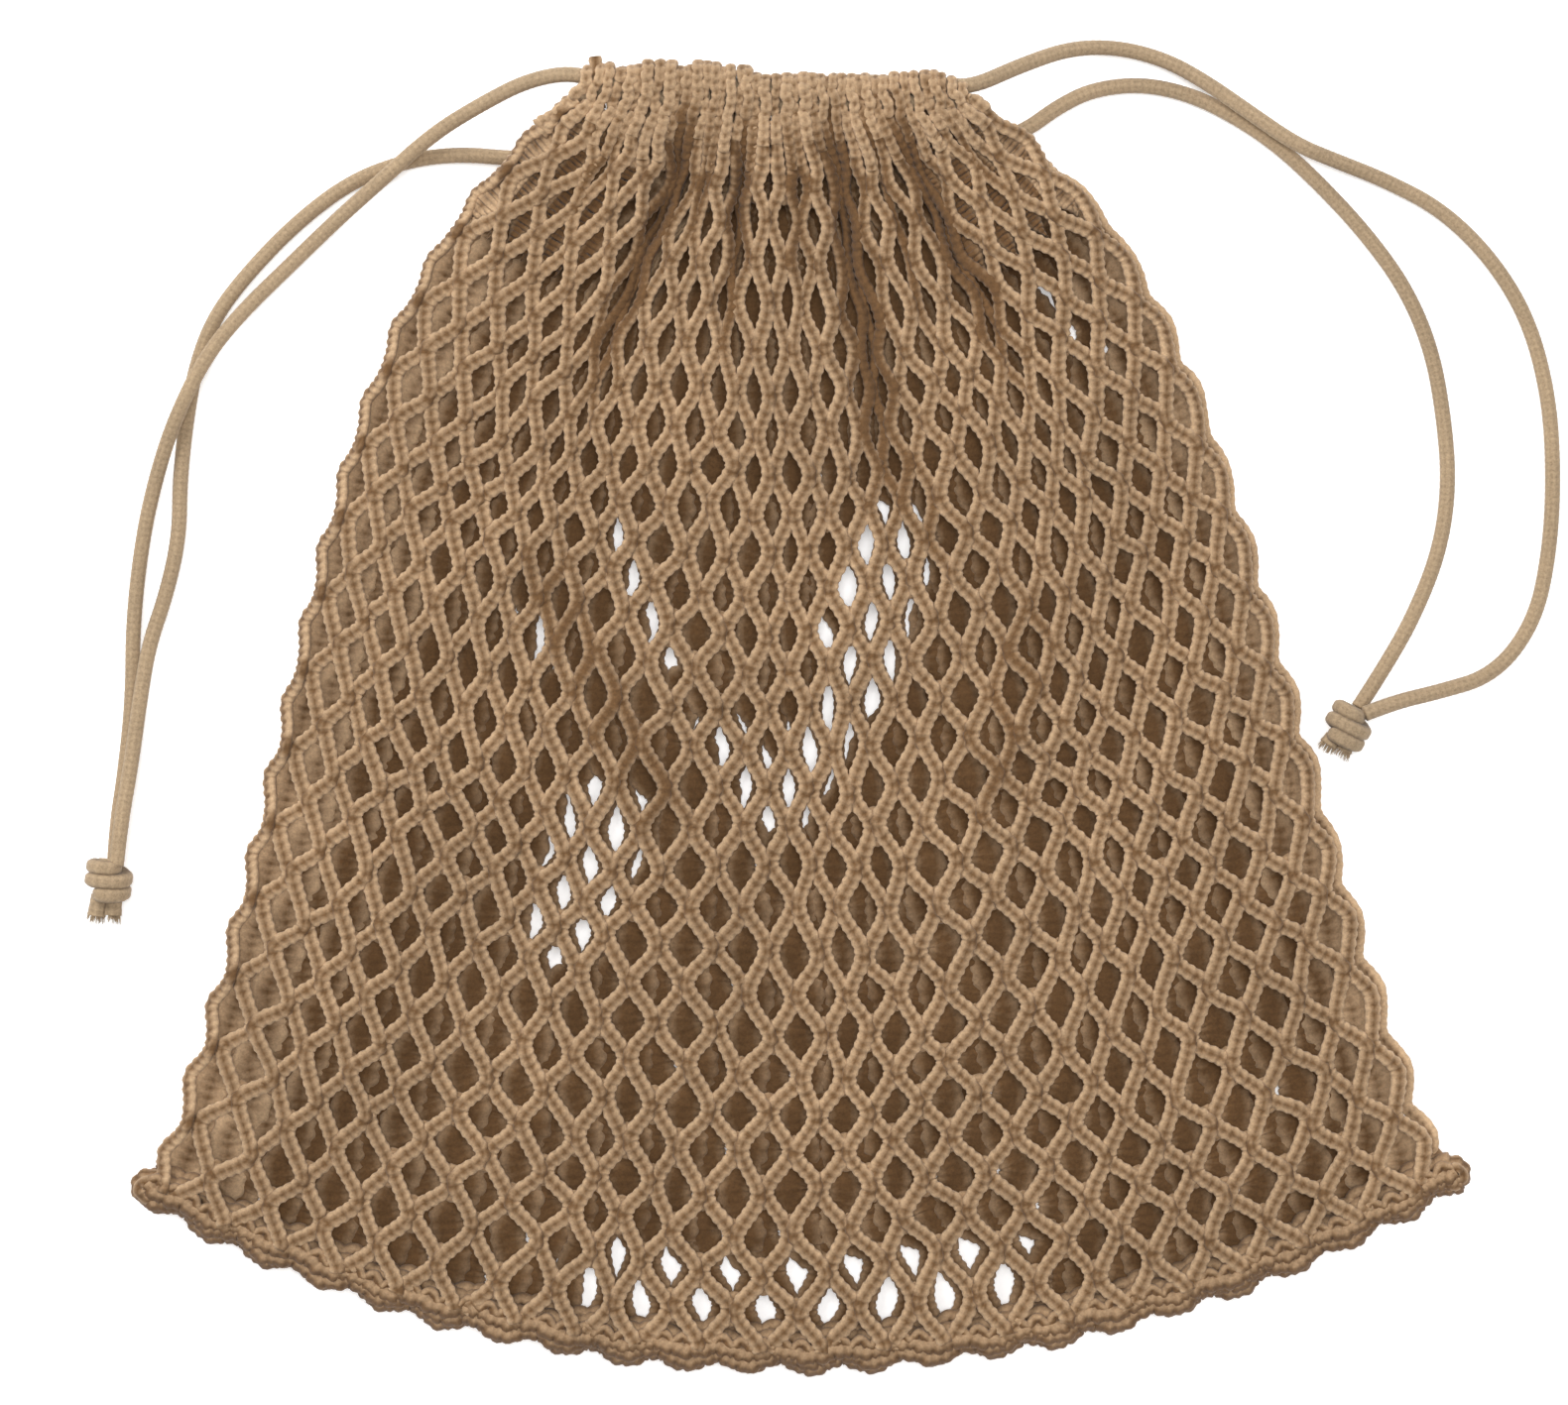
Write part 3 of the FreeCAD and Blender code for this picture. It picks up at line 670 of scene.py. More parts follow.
def net_place(u, v, layer):
    """The middle of the net's surface, in millimetres, for the front or the back layer."""
    front = layer != "back"
    reach = v if front else v * BACK_SHARE
    from_mouth = (1 - v) * COLUMN_LENGTH
    gathered, drop, _ = pleats(u, from_mouth)
    x, y = flat_place(gathered, reach)
    left_x, left_y = flat_place(np.zeros_like(v), reach)
    right_x, right_y = flat_place(np.ones_like(v), reach)
    width = np.hypot(right_x - left_x, right_y - left_y)
    edge = np.minimum(gathered, 1 - gathered) * width
    calm = smoothstep(edge / 25.0) * smoothstep(from_mouth / 20.0) * smoothstep(v / 0.06)
    x = x + calm * (1.5 * DRIFT_X(x, y) + 0.45 * FINE_X(x, y))
    y = y + calm * (1.5 * DRIFT_Y(x, y) + 0.45 * FINE_Y(x, y))
    if front:
        level = between(FRONT_LEVEL, v) + FRONT_BAND_RISE * bell(from_mouth, 13.0)
        level = level + SHOULDER_RISE * bell(from_mouth - 26.0, 26.0) - drop + 0.7 * calm * DRIFT_Z(x, y)
        middle = 5.4 + 8.2 * bell(from_mouth, 18.0)
        for x0, y0, x1, y1, rise, half in FOLDS:
            away, t = line_distance(x, y, x0, y0, x1, y1)
            fade = smoothstep(np.minimum(t, 1 - t) * 4)
            level = level + calm * fade * rise * bell(away, half)
    else:
        x = MIDDLE_X + (x - MIDDLE_X) * (1 - BACK_GATHER * bell(from_mouth, 15.0))
        level = BACK_LEVEL + 0.25 * drop + BACK_BAND_RISE * bell(from_mouth, 15.0)
        middle = 5.2 - 2.0 * bell(from_mouth, 20.0)
    turned = 1 - np.clip(edge / FOLD_RADIUS, 0, 1)
    z = middle + (level - middle) * np.sqrt(np.maximum(1 - turned * turned, 0))
    return np.stack(np.broadcast_arrays(x, y, z), axis=-1)


# ---- knitted strands

STITCH = 2.15  # pitch of the chain stitches
RING_STEP = 0.50
HALF_SECTION = np.array([0.42, 0.85, 1.30, 1.80, 2.45])
SECTION = np.concatenate([[0.0], HALF_SECTION, [math.pi], -HALF_SECTION[::-1]])
STRAND_HALF_WIDTH = 1.80
STRAND_HALF_HEIGHT = 1.32
JOINT_DISTANCE = (1.50, 0.9)  # between the middles of two joined strands, mid-bag and at its sides
JOINT_LENGTH = (0.95, 0.65)  # how soon a slant reaches the joint, mid-bag and at its sides
GROOVE_SHADE = 0.80
LAYER_RELIEF = {"front": 1.0, "back": 0.8, "under": 0.45}
# The back layer's painted shade: lit at its sides near the fold, and darker farther in, under the front
# layer.
# On the left and on the right: where it starts to darken, from the side, and over how far.
BACK_SHADE = (-0.28, 0.45)
LIGHT_SIDE = ((8.0, 24.0), (4.0, 17.0))
BACK_FILL = (0.64, 0.16)  # half width of a back strand by its spacing, and more at the mouth
BACK_FILL_LIMIT = 4.4
BACK_OPEN_WIDTH = 0.41  # the same where it leaves the front layer's holes open
BACK_OPEN_SWING = -0.62  # its swing there, by the front strand's
BACK_ASIDE = 0.42  # how far it shifts towards the middle to cover the holes
BACK_HALF_HEIGHT = 1.15

# The net folded in under the front layer at each side of the mouth.
UNDER_DROP = 2.5
UNDER_LOWEST = 1.6
UNDER_START = 0.84
UNDER_STRANDS = 7
UNDER_WIDTH = (0.62, 0.8)  # half width by its spacing: of most strands and of the outermost
# Painted shade of the folded-under strands: lit at the side, darker farther in under the front layer.
UNDER_SHADE = (-0.16, 0.48)  # at the side and farther in


def zigzag(t, sharpness):
    """The sideways swing of a strand, from -1 to 1: slants between joints where it runs straight."""
    swing = np.arcsin(0.94 * np.sin(2 * math.pi * t)) / math.asin(0.94)
    return np.tanh(sharpness * swing) / math.tanh(sharpness)


def stitched(centre, up, half_width, half_height, extra_shade, phase=0.0, relief=1.0, joined=None,
             groove_shade=GROOVE_SHADE):
    """A chain-knitted strand round a line, in millimetres: rings in metres, and shade. Two rows of
    slanting loops meet in a groove along the top, with a small dark eye at each stitch. The shade is painted
    shade: darker in the groove, the eyes, the dips between loops and on the strand's sides and underside.
    Where the strand is joined to its neighbour, -1 on its left or 1 on its right, that side is painted
    darker, as shade between the strands. Its half sizes and extra shade are one number each, or one for
    each point of the line."""
    half_width, half_height, extra_shade = (np.broadcast_to(value, len(centre))[:, None]
                                            for value in (half_width, half_height, extra_shade))
    tangents = unit(np.gradient(centre, axis=0))
    side = unit(np.cross(tangents, up))
    up = np.cross(side, tangents)
    beat = arc_lengths(centre)[:, None] / STITCH + phase
    angle = SECTION[None, :]
    away = np.abs(angle)
    loop = np.cos(2 * math.pi * (beat - 0.22 * away))
    upper = np.clip(1.35 - away / 1.9, 0, 1)
    groove = bell(away, 0.62)
    eye = bell(away, 0.36) * np.clip(-loop, 0, 1)
    grain = 1 + 0.6 * np.sin(2.7 * beat + 3 * phase) * np.sin(0.91 * beat + 9 * phase)
    size = 1 + 0.15 * relief * loop * upper - 0.16 * groove - 0.14 * eye * grain
    rings = rings_round(centre, half_height * size * np.cos(angle), up,
                        half_width * size * np.sin(angle), side)
    rim = smoothstep((away - 1.25) / 1.2)
    # Painted shade: groove, eyes, dips between the loops, and the sides and underside.
    shade = (groove_shade * groove + 0.14 * eye * grain + 0.32 * relief * (1 - loop) / 2 * upper * grain
             + 0.42 * rim)
    # Painted shade on the side joined to the neighbour.
    if joined is not None:
        shade = shade + 0.85 * smoothstep(joined[:, None] * np.sin(angle) * 1.8 - 0.5)
    return rings * MM, np.clip(shade + extra_shade, 0, 1)


def strand_swing(free, bent, from_mouth, from_side):
    """How far a strand swings to each side in the free space to its neighbours: less at the layer's
    sides and nothing at the mouth."""
    at_edge = 0.16 + 0.26 * smoothstep((from_mouth - 30.0) / 60.0)
    swing = np.maximum(free, 0) / 2 * between((at_edge, 1), smoothstep((from_side - 0.5) / 9.0))
    return swing * smoothstep((from_mouth - max(8.0 * (1 - bent), 1.0)) / (11.0 - 3.0 * bent))


def strand_shade(layer, own, place, from_side, valley):
    """How much darker a strand is along its way, for where it lies, as painted shade: in the front's valleys
    and creases, and farther in from the sides, under the front layer, for the back and folded-under strands,
    the folded-under ones also in valleys. The back also gets a random patchy tone.
    """
    if layer == "front":
        return 1.15 * valley + crease_shade(place[:, 0], place[:, 1])
    if layer == "under":
        return between(UNDER_SHADE, smoothstep((from_side - 5.0) / 12.0)) + 0.5 * valley
    lit, fade = LIGHT_SIDE[0] if own < 0.5 else LIGHT_SIDE[1]
    patchy = 0.08 * DRIFT_X(place[:, 1], place[:, 0]) + 0.12 * FINE_Y(place[:, 0], place[:, 1])
    return between(BACK_SHADE, smoothstep((from_side - lit) / fade)) + patchy


def back_strand(index, own, spacing, half_width, swung, turn, from_mouth, open_here):
    """(half width, shift) of a back strand. It is wide and set aside to fill the front layer's holes,
    and narrow where the holes of both layers line up. The outermost one is like a front strand."""
    if index == STRANDS - 1:
        return between((half_width, BACK_OPEN_WIDTH * spacing), open_here), swung
    share = BACK_FILL[0] + BACK_FILL[1] * bell(from_mouth, 60.0)
    filled = np.clip(share * spacing, half_width, BACK_FILL_LIMIT)
    inward = 0 if index == 0 else 1 if own < 0.5 else -1
    aside = inward * BACK_ASIDE * spacing * (1 + turn) / 2 * smoothstep(from_mouth / 20.0)
    return (between((filled, BACK_OPEN_WIDTH * spacing), open_here),
            between((aside, BACK_OPEN_SWING * swung), open_here))


def layer_strand(index, layer, v):
    """The middle line of one strand of a layer, from the seam up, and what stitched() needs with it."""
    front = layer != "back"
    own = (index + (0.25 if layer == "front" else 0.75)) / STRANDS
    reach = v if front else v * BACK_SHARE
    column = np.stack(flat_place(np.full_like(v, own), v), axis=1)
    along_column = arc_lengths(column)
    rows = CELL_ROWS * np.interp(reach, v, along_column / along_column[-1])
    u = np.full_like(v, own)
    place = net_place(u, v, layer)
    if not front:
        open_here = openness(place[:, 0], place[:, 1], reach * COLUMN_LENGTH)
        u = u + 0.5 / STRANDS * open_here
        place = net_place(u, v, layer)
    step = 0.25 / STRANDS
    across = net_place(u + step, v, layer) - net_place(u - step, v, layer)
    spacing = np.linalg.norm(across, axis=1) * 2
    across = unit(across)
    tangents = unit(np.gradient(place, axis=0))
    up = unit(np.cross(across, tangents))
    from_mouth = (1 - v) * COLUMN_LENGTH
    gathered, _, valley = pleats(u, from_mouth)
    from_side = np.minimum(gathered, 1 - gathered) * spacing * STRANDS
    sideways = smoothstep((abs(2 * own - 1) - 0.35) / 0.45)
    scale = np.clip((spacing / 4.8) ** 0.5, 0.62, 1.0)
    half_width = STRAND_HALF_WIDTH * scale
    half_height = STRAND_HALF_HEIGHT * scale
    bent = (2 * own - 1) ** 2
    near = bell(from_mouth, 11.0 - 7.0 * bent)
    half_width = half_width + near * np.clip(0.52 * spacing - half_width, 0, 1.2)
    free = spacing - between(JOINT_DISTANCE, sideways) * scale
    parity = 1 if index % 2 == 0 else -1
    uneven = 0.04 * FINE_X(place[:, 0] * 0.6, place[:, 1] * 0.6)
    turn = parity * zigzag(rows + 0.25 + uneven, between(JOINT_LENGTH, sideways))
    shift = strand_swing(free, bent, from_mouth, from_side) * turn
    if layer == "under":
        shift = np.zeros_like(v)
        place[:, 2] = np.maximum(place[:, 2] - UNDER_DROP, UNDER_LOWEST)
        narrow, wide = UNDER_WIDTH
        share = wide if index in (0, STRANDS - 2) else narrow
        half_width = share * spacing * between((0.1, 1.0), smoothstep((v - v[0]) * COLUMN_LENGTH / 9.0))
    elif layer == "back":
        half_height = BACK_HALF_HEIGHT * scale
        half_width, shift = back_strand(index, own, spacing, half_width, shift, turn, from_mouth, open_here)
    bulge = 0.35 * half_height * np.abs(turn) * parity * (1 if front else -1)
    centre = place + shift[:, None] * across + bulge[:, None] * up
    wobble = np.random.default_rng(1000 + index + (0 if front else 500))
    along = arc_lengths(centre)
    for _ in range(3):
        rate, begin, size = wobble.uniform((0.12, 0, 0.05), (0.5, 6.3, 0.16))
        centre = centre + (size * np.sin(rate * along + begin))[:, None] * across
    grow = 1 + 0.05 * np.sin(0.31 * along + wobble.uniform(0, 6.3))
    extra = strand_shade(layer, own, place, from_side, valley)
    # Painted shade at the joints: the side where a front strand meets its neighbour is darker, not the outer
    # side of the outermost strands.
    held = turn * np.abs(turn) if layer == "front" else np.zeros_like(v)
    if index == 0:
        held = np.maximum(held, 0)
    elif index == STRANDS - 1:
        held = np.minimum(held, 0)
    phase = wobble.uniform(0, 1)
    return centre, up, half_width * grow, half_height * grow, extra, phase, LAYER_RELIEF[layer], held


def layer_piece(name, parts):
    """An object of the strands of (layer, first, last) parts."""
    tubes = []
    for layer, first, last in parts:
        start = UNDER_START if layer == "under" else 0.0
        rows = np.linspace(start, 1, int(COLUMN_LENGTH * 1.16 * (1 - start) / RING_STEP))
        tubes += [stitched(*layer_strand(index, layer, rows)) for index in range(first, last)]
    return mesh_object(name, tubes, NET_YARN)


WEB_RINGS = 15
WEB_REACH = 4.3  # from the middle of a joint to the end of its web
WEB_SINK = 0.75  # below the strands' middles
WEB_HALF_HEIGHT = 0.62
WEB_ANGLES = ring_angles(10)
WEB_SAMPLES = 1200  # along a strand, to find its joints
WEB_WINDOW = 25  # samples to each side in which the strands have to part again
WEB_CLEAR = (3.0, 6.0)  # no webs this near to the seam and to the mouth


def joint_webs(index):
    """The short webs of stitches that fill the corners of the cells between a front strand and the next."""
    v = np.linspace(0, 1, WEB_SAMPLES)
    left = layer_strand(index, "front", v)
    right = layer_strand(index + 1, "front", v)
    middle, up = (left[0] + right[0]) / 2, left[1]
    apart = np.linalg.norm(right[0] - left[0], axis=1)
    along = arc_lengths(middle)
    closed = [i for i in range(1, len(v) - 1) if apart[i] < apart[i - 1] and apart[i] <= apart[i + 1]]
    rng = np.random.default_rng(3000 + index)
    tubes = []
    for i in closed:
        near = slice(max(i - WEB_WINDOW, 0), i + WEB_WINDOW + 1)
        at_end = along[i] < WEB_CLEAR[0] or along[-1] - along[i] < WEB_CLEAR[1]
        if at_end or apart[near].max() < apart[i] + 0.8:
            continue
        reach = WEB_REACH * rng.uniform(0.86, 1.10)
        at = along[i] + np.linspace(-reach, reach, WEB_RINGS)
        place = points_at(at, along, middle)
        tangents = unit(np.gradient(place, axis=0))
        side = unit(np.cross(tangents, points_at(at, along, up)))
        rise = np.cross(side, tangents)
        share = np.abs(np.linspace(-1, 1, WEB_RINGS))
        blunt = np.sqrt(np.clip(1 - share ** 8, 0, 1)) + 0.02
        wide = (0.5 * np.interp(at, along, apart) * blunt)[:, None]
        tall = (WEB_HALF_HEIGHT * blunt)[:, None]
        stitch = np.cos(2 * math.pi * at / (STITCH * 0.8))[:, None]
        rings = rings_round(place - WEB_SINK * rise, wide * np.sin(WEB_ANGLES), side,
                            tall * (1 + 0.25 * stitch) * np.cos(WEB_ANGLES), rise)
        # Painted shade: the webs between the strands are darker, more so in valleys and creases, with a
        # stitch pattern and a random tone.
        deep = np.interp(at, along, left[4])[:, None]
        shade = 0.58 + 0.18 * stitch * np.cos(3 * WEB_ANGLES) + 0.7 * deep + rng.uniform(-0.06, 0.06)
        tubes.append((rings * MM, np.clip(shade, 0, 1)))
    return tubes


def lifts(piece):
    """Bakes a front piece's placement into its mesh."""
    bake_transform(piece)


HALF = STRANDS // 2
QUARTER = STRANDS // 4
# The quarters of a layer: side, place, and the first strand and the one after the last.
QUARTERS = [
    ("left", "outer", 1, QUARTER), ("left", "inner", QUARTER, HALF),
    ("right", "inner", HALF, HALF + QUARTER), ("right", "outer", HALF + QUARTER, STRANDS - 1),
]
for side, place, first, last in QUARTERS:
    parts = [("front", first, last)]
    if first == 1:
        parts.append(("under", 0, UNDER_STRANDS))
    elif last == STRANDS - 1:
        parts.append(("under", STRANDS - UNDER_STRANDS - 1, STRANDS - 1))
    part = layer_piece(f"front_net_{side}_{place}", parts)
    filled = [web for index in range(first, min(last, STRANDS - 2)) for web in joint_webs(index)]
    webs = mesh_object(f"front_joints_{side}_{place}", filled, NET_YARN)
    for piece in (part, webs):
        lifts(piece)
        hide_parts("front_net")
for side, place, first, last in QUARTERS:
    part = layer_piece(f"back_net_{side}_{place}", [("back", first, last)])
    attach(part, "bag_back")
    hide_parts("back_net")
for side, index in (("left", 0), ("right", STRANDS - 1)):
    part = layer_piece(f"{side}_net_edge", [("front", index, index + 1), ("back", index, index + 1)])
    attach(part, "bag_back")
    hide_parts(f"{side}_side_fold")

# ---- mouth bands

SLEEVE_Z = {"front": 13.9, "back": 3.7}
SLEEVE_RADIUS = 3.0  # from a cord's middle to the middle of the rib round it
# The top edge of the mouth, across: x and y.
FRONT_TOP = ((-47.0, 147.8), (-38.0, 148.6), (-15.5, 148.4), (-11.0, 146.2), (22.0, 146.0), (30.0, 147.0),
             (35.0, 146.4), (38.5, 144.4))
BACK_TOP = ((-46.0, 135.2), (36.0, 135.2))
RIB_START = (0.955, 0.03)  # where a rib leaves the net's strand, and how much that varies
RIB_SAMPLES = 400
RIB_WAVE = 0.50  # a rib's swing between its neighbours
RIB_WAVES = 0.9
RIB_HALF_WIDTH = 1.30
RIB_HALF_HEIGHT = 1.15
RIB_LOWEST = 1.3  # the lowest that a rib's middle goes
RIB_GATHER = 0.06  # how much a rib leans towards the band's middle
BAND_MIDDLE_X = {"front": -4.5, "back": -5.0}
UNEVEN_BEFORE_X = -8.0  # left of this the top edge goes up and down more
DEEP_RIBS = [round(place * STRANDS) for place, hidden, *_ in VALLEYS if hidden > 2]


def band_strand(index, layer):
    """One gathered rib: on from the net's strand, over the cords, round the top and back inside."""
    front = layer == "front"
    leading = np.linspace(RIB_START[0] + RIB_START[1] * math.sin(index * 2.3) ** 2, 1.0, 4)
    rows = np.linspace(0, 1, RIB_SAMPLES)
    centre, _, half_width, half_height, extra, *_ = layer_strand(index, layer, rows)
    lead = points_at(leading, rows, centre)
    first_shade = np.interp(leading[0], rows, extra)
    rng = np.random.default_rng(2000 + index + (0 if front else 500))
    x, y, _ = lead[-1]
    z_middle = SLEEVE_Z[layer]
    top_x, top_y = zip(*(FRONT_TOP if front else BACK_TOP))
    uneven = 0.75 * math.sin(index * 1.13) * (x < UNEVEN_BEFORE_X)
    top = np.interp(x, top_x, top_y) - 1.2 + uneven + rng.uniform(-0.3, 0.3)
    parity = 1 if index % 2 else -1
    sunk = 0.35 * parity + rng.uniform(-0.4, 0.4) + (1.0 if index in DEEP_RIBS else 0.0)
    inward = RIB_GATHER * (BAND_MIDDLE_X[layer] - x)
    turn_y = top - SLEEVE_RADIUS
    high, low = z_middle + SLEEVE_RADIUS, max(z_middle - SLEEVE_RADIUS, RIB_LOWEST)
    begin = rng.uniform(-0.5, 0.5)
    lead[:, 2] += 0.5
    knots = [tuple(point) for point in lead]
    for share in np.linspace(0.1, 0.95, 7):
        wave = RIB_WAVE * parity * math.cos(RIB_WAVES * 2 * math.pi * share + begin)
        knots.append((x + inward * share + wave + rng.uniform(-0.3, 0.3), y + (turn_y - y) * share,
                      high - sunk + rng.uniform(-0.45, 0.3)))
    for angle in np.linspace(1.35, -1.35, 6):
        knots.append((x + inward + rng.uniform(-0.35, 0.35),
                      turn_y + (SLEEVE_RADIUS - 0.3 * sunk) * math.cos(angle),
                      max(z_middle + SLEEVE_RADIUS * math.sin(angle), RIB_LOWEST)))
    knots += [(x + inward, turn_y - 1.5, low), (x + inward, min(y, turn_y - 4.0), low)]
    line = resampled(smooth_line([tuple(c * MM for c in knot) for knot in knots]) / MM, RING_STEP)
    order = np.arange(len(line))
    out = line - np.array([0, turn_y, z_middle])
    out[:, 0] = 0
    upward = np.where(order < len(line) / 2, 1, -1)[:, None] * UP
    ahead = smoothstep((line[:, 1] - turn_y + 5.0) / 5.0)[:, None]
    out = unit(between((upward, unit(out + 1e-6)), ahead))
    up = square_to(unit(np.gradient(line, axis=0)), out)
    grown = smoothstep(order / 14.0)
    wide = between((half_width[-1], RIB_HALF_WIDTH + rng.uniform(-0.2, 0.2)), grown)
    tall = between((half_height[-1], RIB_HALF_HEIGHT), grown)
    # Painted shade: ribs sunk in deep valleys and the back band, behind the front one, are darker; the rib
    # starts with its strand's painted shade. Each rib also gets a random tone.
    own_shade = rng.uniform(-0.10, 0.06) + 0.22 * smoothstep((sunk + 0.1) / 0.9) + (0.0 if front else 0.3)
    shade = between((first_shade, own_shade), smoothstep(order / 40.0))
    return stitched(line, up, wide, tall, shade, phase=rng.uniform(0, 1), relief=1.1, groove_shade=0.42)


for side, first, last in (("left", 0, HALF), ("right", HALF, STRANDS)):
    ribs = [band_strand(index, "front") for index in range(first, last)]
    band = mesh_object(f"front_band_{side}", ribs, NET_YARN)
    lifts(band)
    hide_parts("front_mouth_band")
band = mesh_object("back_band", [band_strand(index, "back") for index in range(STRANDS)], NET_YARN)
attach(band, "bag_back")
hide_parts("back_mouth_band")

# The cords' runs through the front sleeve, in two halves.
SPLIT_X = -0.004
SLEEVE_RUNS = {
    "left": (((-0.0195, 0.1398, 0.014), (-0.015, 0.1394, 0.014), (-0.010, 0.1386, 0.014),
              (SPLIT_X, 0.1384, 0.014)),
             ((-0.0413, 0.1438, 0.014), (-0.025, 0.1438, 0.014), (-0.014, 0.1424, 0.014),
              (SPLIT_X, 0.1420, 0.014))),
    "right": (((SPLIT_X, 0.1384, 0.014), (0.010, 0.1384, 0.014), (0.024, 0.1390, 0.014),
               (0.0343, 0.1398, 0.014)),
              ((SPLIT_X, 0.1420, 0.014), (0.002, 0.1421, 0.014), (0.008, 0.1430, 0.014),
               (0.0135, 0.1438, 0.014))),
}
for side, routes in SLEEVE_RUNS.items():
    runs = [braided_tube(resampled(smooth_line(route), CORD_STEP)) for route in routes]
    sleeve_cords = mesh_object(f"front_sleeve_cords_{side}", runs, CORD_COTTON)
    lifts(sleeve_cords)
    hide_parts("left_cord_front_run", "right_cord_front_run")

# ---- bottom seam and its rolled ends

# Each strand of the seam: how far out, height, radius, scallop, small wave, offset.
SEAM_STRANDS = [
    (0.3, 7.7, 2.10, 0.6, 0.25, 0.0), (2.0, 6.5, 2.10, 1.0, 0.25, 0.5), (2.8, 4.6, 2.10, 1.2, 0.20, 1.0),
    (2.0, 2.5, 2.10, 1.0, 0.20, 1.5), (-0.4, 3.0, 1.80, 0.5, 0.20, 2.0), (-1.7, 8.5, 1.20, 0.3, 0.90, 2.5),
    (-2.6, 5.8, 2.00, 0.5, 0.30, 3.0), (-4.4, 4.2, 1.70, 0.6, 0.40, 3.5),
]
SEAM_SAMPLES = 1800
SEAM_SHADE = 0.40


def seam_strand(outward, height, radius, scallop, small, shift):
    """One chained strand along the base, scalloped in step with the net's cells."""
    u = np.linspace(-0.004, 1.004, SEAM_SAMPLES)
    wave = np.cos(2 * math.pi * (u * STRANDS / 2 - 0.125))
    wander = 0.35 * np.sin(u * 41 + 5 * shift) + small * np.sin(u * 430 + 9 * shift)
    x, y = base_point(u, outward + scallop * wave + wander)
    z = height + 0.25 * np.sin(u * 63 + 7 * shift)
    line = resampled(np.stack([x, y, z], axis=1), RING_STEP)
    rise = np.full(len(line), 30.0 * (height + 1))
    out = np.stack([line[:, 0] - BASE_X, line[:, 1] - BASE_Y, rise], axis=1)
    up = square_to(unit(np.gradient(line, axis=0)), out)
    return stitched(line, up, radius, radius, SEAM_SHADE, phase=shift, relief=0.7)


seam = mesh_object("chained_bottom_seam", [seam_strand(*strand) for strand in SEAM_STRANDS], NET_YARN)
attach(seam, "bag_back")
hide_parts("bottom_seam")


ROLL_TURNS = 3.4
ROLL_SAMPLES = 260
ROLL_REACH = 2.75  # from the roll's middle to its chain's middle
ROLL_RADIUS = 1.75  # of the chain
ROLL_HEIGHTS = (1.9, 8.3)  # of the chain's first and last turn
ROLL_SHADE = 0.14


def seam_roll(side):
    """The seam's end rolled up on itself at a base corner: one chain coiled into a knob."""
    mirror = -1 if side == "left" else 1
    corner_x, corner_y = base_point(0.0 if side == "left" else 1.0, outward=1.2)
    middle = np.array([corner_x + mirror * 0.2, corner_y + 0.6, 4.0])
    share = np.linspace(0, 1, ROLL_SAMPLES)
    angle = 2 * math.pi * ROLL_TURNS * share
    reach = ROLL_REACH * np.sin(np.clip(share + 0.02, 0, 1) * math.pi) ** 0.45
    line = np.stack([middle[0] + mirror * reach * np.cos(angle), middle[1] + reach * np.sin(angle),
                     between(ROLL_HEIGHTS, share)], axis=1)
    line = resampled(line, RING_STEP)
    up = square_to(unit(np.gradient(line, axis=0)), line - middle)
    return stitched(line, up, ROLL_RADIUS, ROLL_RADIUS, ROLL_SHADE)


for side in ("left", "right"):
    roll = mesh_object(f"{side}_seam_roll", [seam_roll(side)], NET_YARN)
    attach(roll, "bag_back")
    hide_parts(f"{side}_seam_end")

# ---- the yarn's fastened-off end

STUB_ENDS = ((-45.9, 143.6, 14.6), (-46.6, 149.4, 14.6))
STUB_RADIUS = 1.5
STUB_RINGS = 8
STUB_SHADE = 0.2


def yarn_stub():
    """The short stub at the mouth's left corner."""
    line = np.linspace(*STUB_ENDS, STUB_RINGS)
    return stitched(line, UP, STUB_RADIUS, STUB_RADIUS, STUB_SHADE)


stub = mesh_object("fastened_yarn_end", [yarn_stub()], NET_YARN)
lifts(stub)
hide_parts("yarn_tail")

# ---- floor, light and finish

FLOOR_HALF = 3.2
FLOOR_LEVEL = -0.0002
FLOOR_GLOW = 0.30
BACKDROP_RADIUS = 3.0  # of the round wall that the floor sweeps up into
BACKDROP_BEND = 0.8
BACKDROP_TOP = 1.05
BACKDROP_LEVEL = -0.0001
BACKDROP_SIDES = 96
# Name, place, size and power of each light. They all point at the bag's middle.
LIGHTS = [
    ("overhead", (0.05, 0.12, 1.6), 0.5, 14.5),
    ("key", (-0.7, 0.8, 0.95), 0.7, 13.6),
    ("fill", (0.9, -0.5, 1.1), 1.0, 4.0),
]
AMBIENT = 0.30


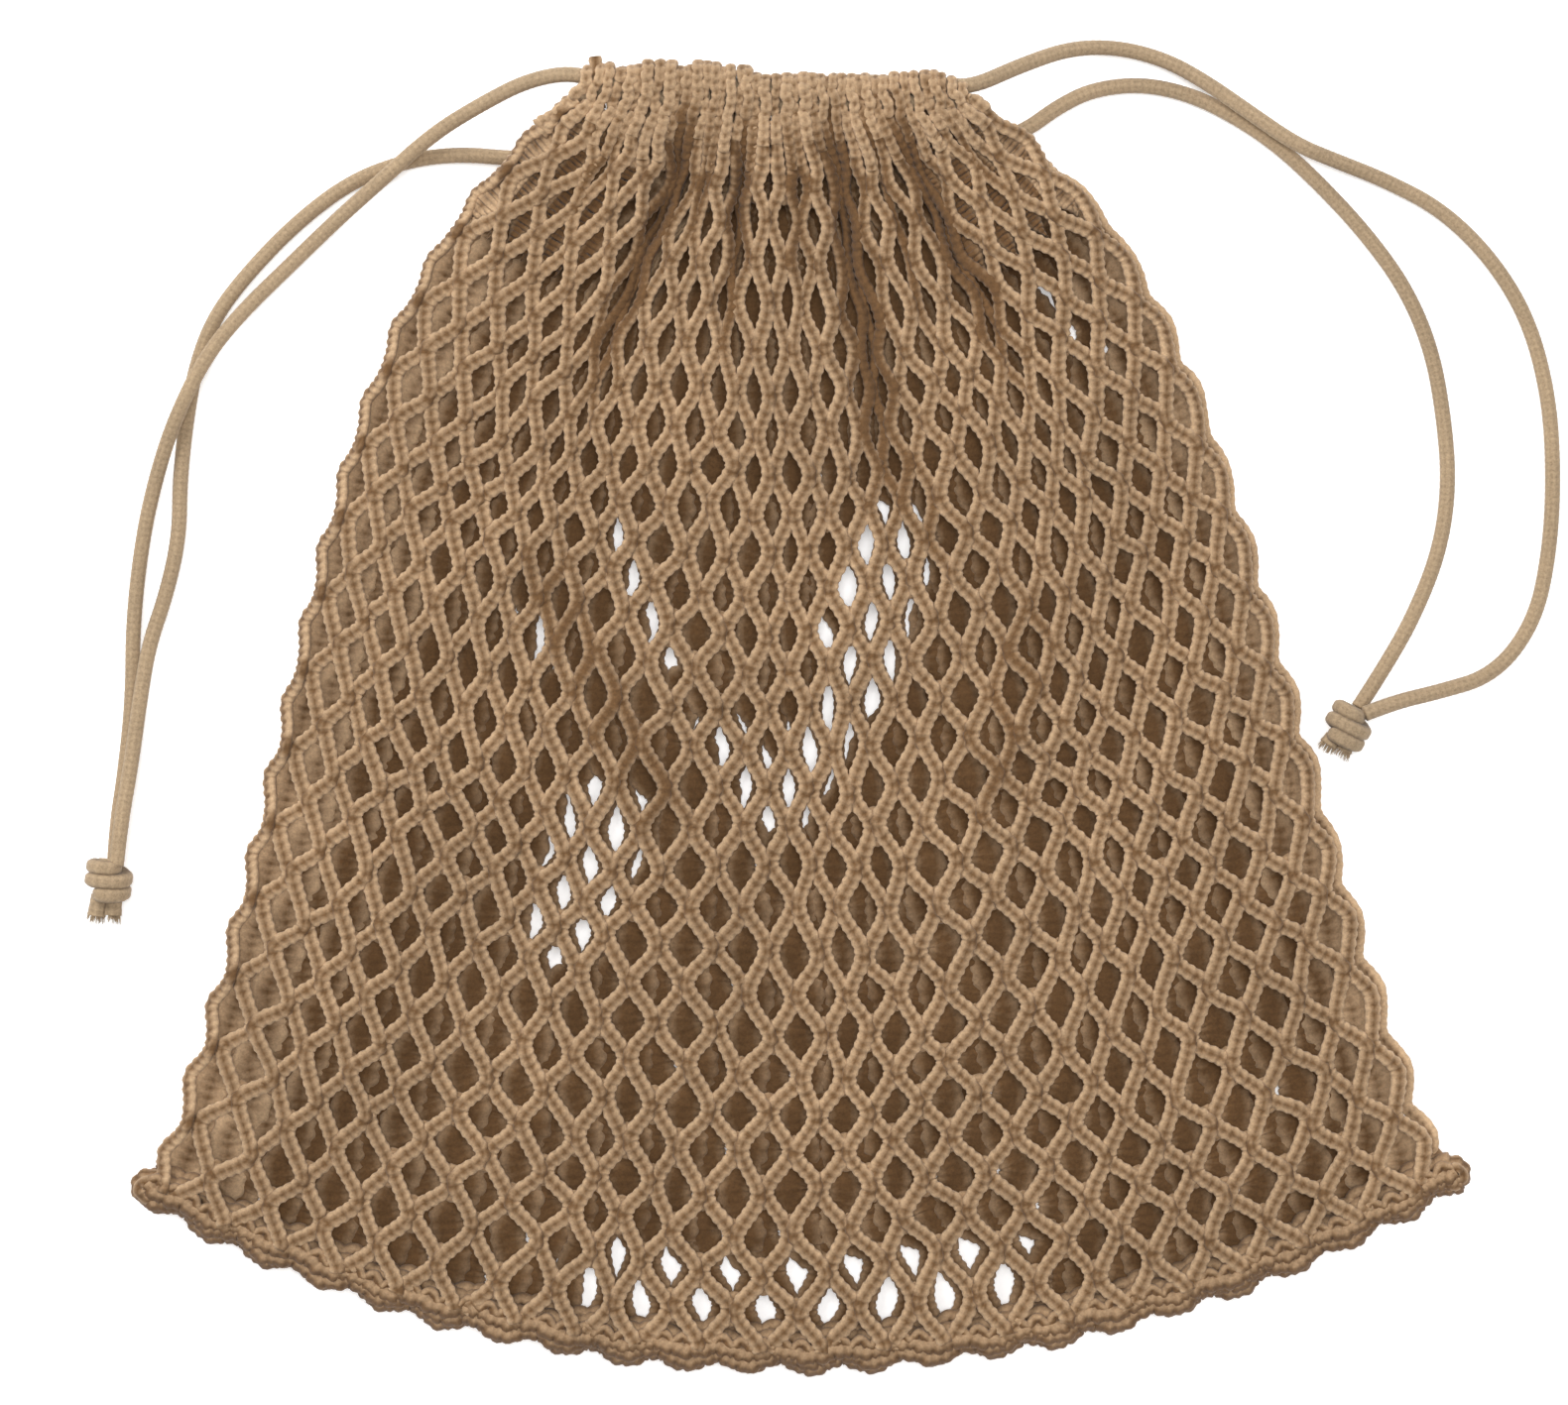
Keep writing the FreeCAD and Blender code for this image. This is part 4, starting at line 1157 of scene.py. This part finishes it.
def stage_material():
    """Plain white that glows a little, as a light table does."""
    material = bpy.data.materials.new("floor")
    material.use_nodes = True
    set_inputs(material.node_tree.nodes["Principled BSDF"], {
        "Base Color": (0.93, 0.93, 0.93, 1), "Roughness": 0.9,
        "Emission Color": (1, 1, 1, 1), "Emission Strength": FLOOR_GLOW})
    return material


def stage_object(name, points, faces, material):
    """An object of the surroundings, no part of the bag."""
    mesh = bpy.data.meshes.new(name)
    mesh.from_pydata(points, [], faces)
    mesh.polygons.foreach_set("use_smooth", [True] * len(faces))
    mesh.materials.append(material)
    made = new_object(name, mesh)


def make_floor():
    """A flat white floor, and round it a surface that bends up into a low wall."""
    material = stage_material()
    corners = [(x * FLOOR_HALF, y * FLOOR_HALF, FLOOR_LEVEL) for x, y in ((-1, -1), (1, -1), (1, 1), (-1, 1))]
    stage_object("floor", corners, [(0, 1, 2, 3)], material)
    bend = np.linspace(0, math.pi / 2, 13)
    radii = list(BACKDROP_RADIUS - BACKDROP_BEND * (1 - np.sin(bend))) + [BACKDROP_RADIUS]
    heights = list(BACKDROP_BEND * (1 - np.cos(bend))) + [BACKDROP_TOP]
    count = BACKDROP_SIDES
    points = [(radius * math.cos(angle), radius * math.sin(angle), height + BACKDROP_LEVEL)
              for radius, height in zip(radii, heights) for angle in ring_angles(count)[0]]
    faces = [(row * count + i, row * count + (i + 1) % count, (row + 1) * count + (i + 1) % count,
              (row + 1) * count + i) for row in range(len(radii) - 1) for i in range(count)]
    stage_object("backdrop", points, faces, material)


def area_light(name, place, size, power):
    """A square light that points at the bag's middle."""
    data = bpy.data.lights.new(name, "AREA")
    data.shape = "SQUARE"
    data.size = size
    data.energy = power
    light = new_object(name, data)
    light.location = place
    light.rotation_mode = "QUATERNION"
    light.rotation_quaternion = (-Vector(place)).to_track_quat("-Z", "Y")


def make_world():
    """Even white light from all round."""
    world = bpy.data.worlds.new("studio")
    world.use_nodes = True
    set_inputs(world.node_tree.nodes["Background"], {"Color": (1, 1, 1, 1), "Strength": AMBIENT})
    bpy.context.scene.world = world


make_floor()
for light in LIGHTS:
    area_light(*light)
make_world()
bpy.context.scene.view_settings.view_transform = "Standard"
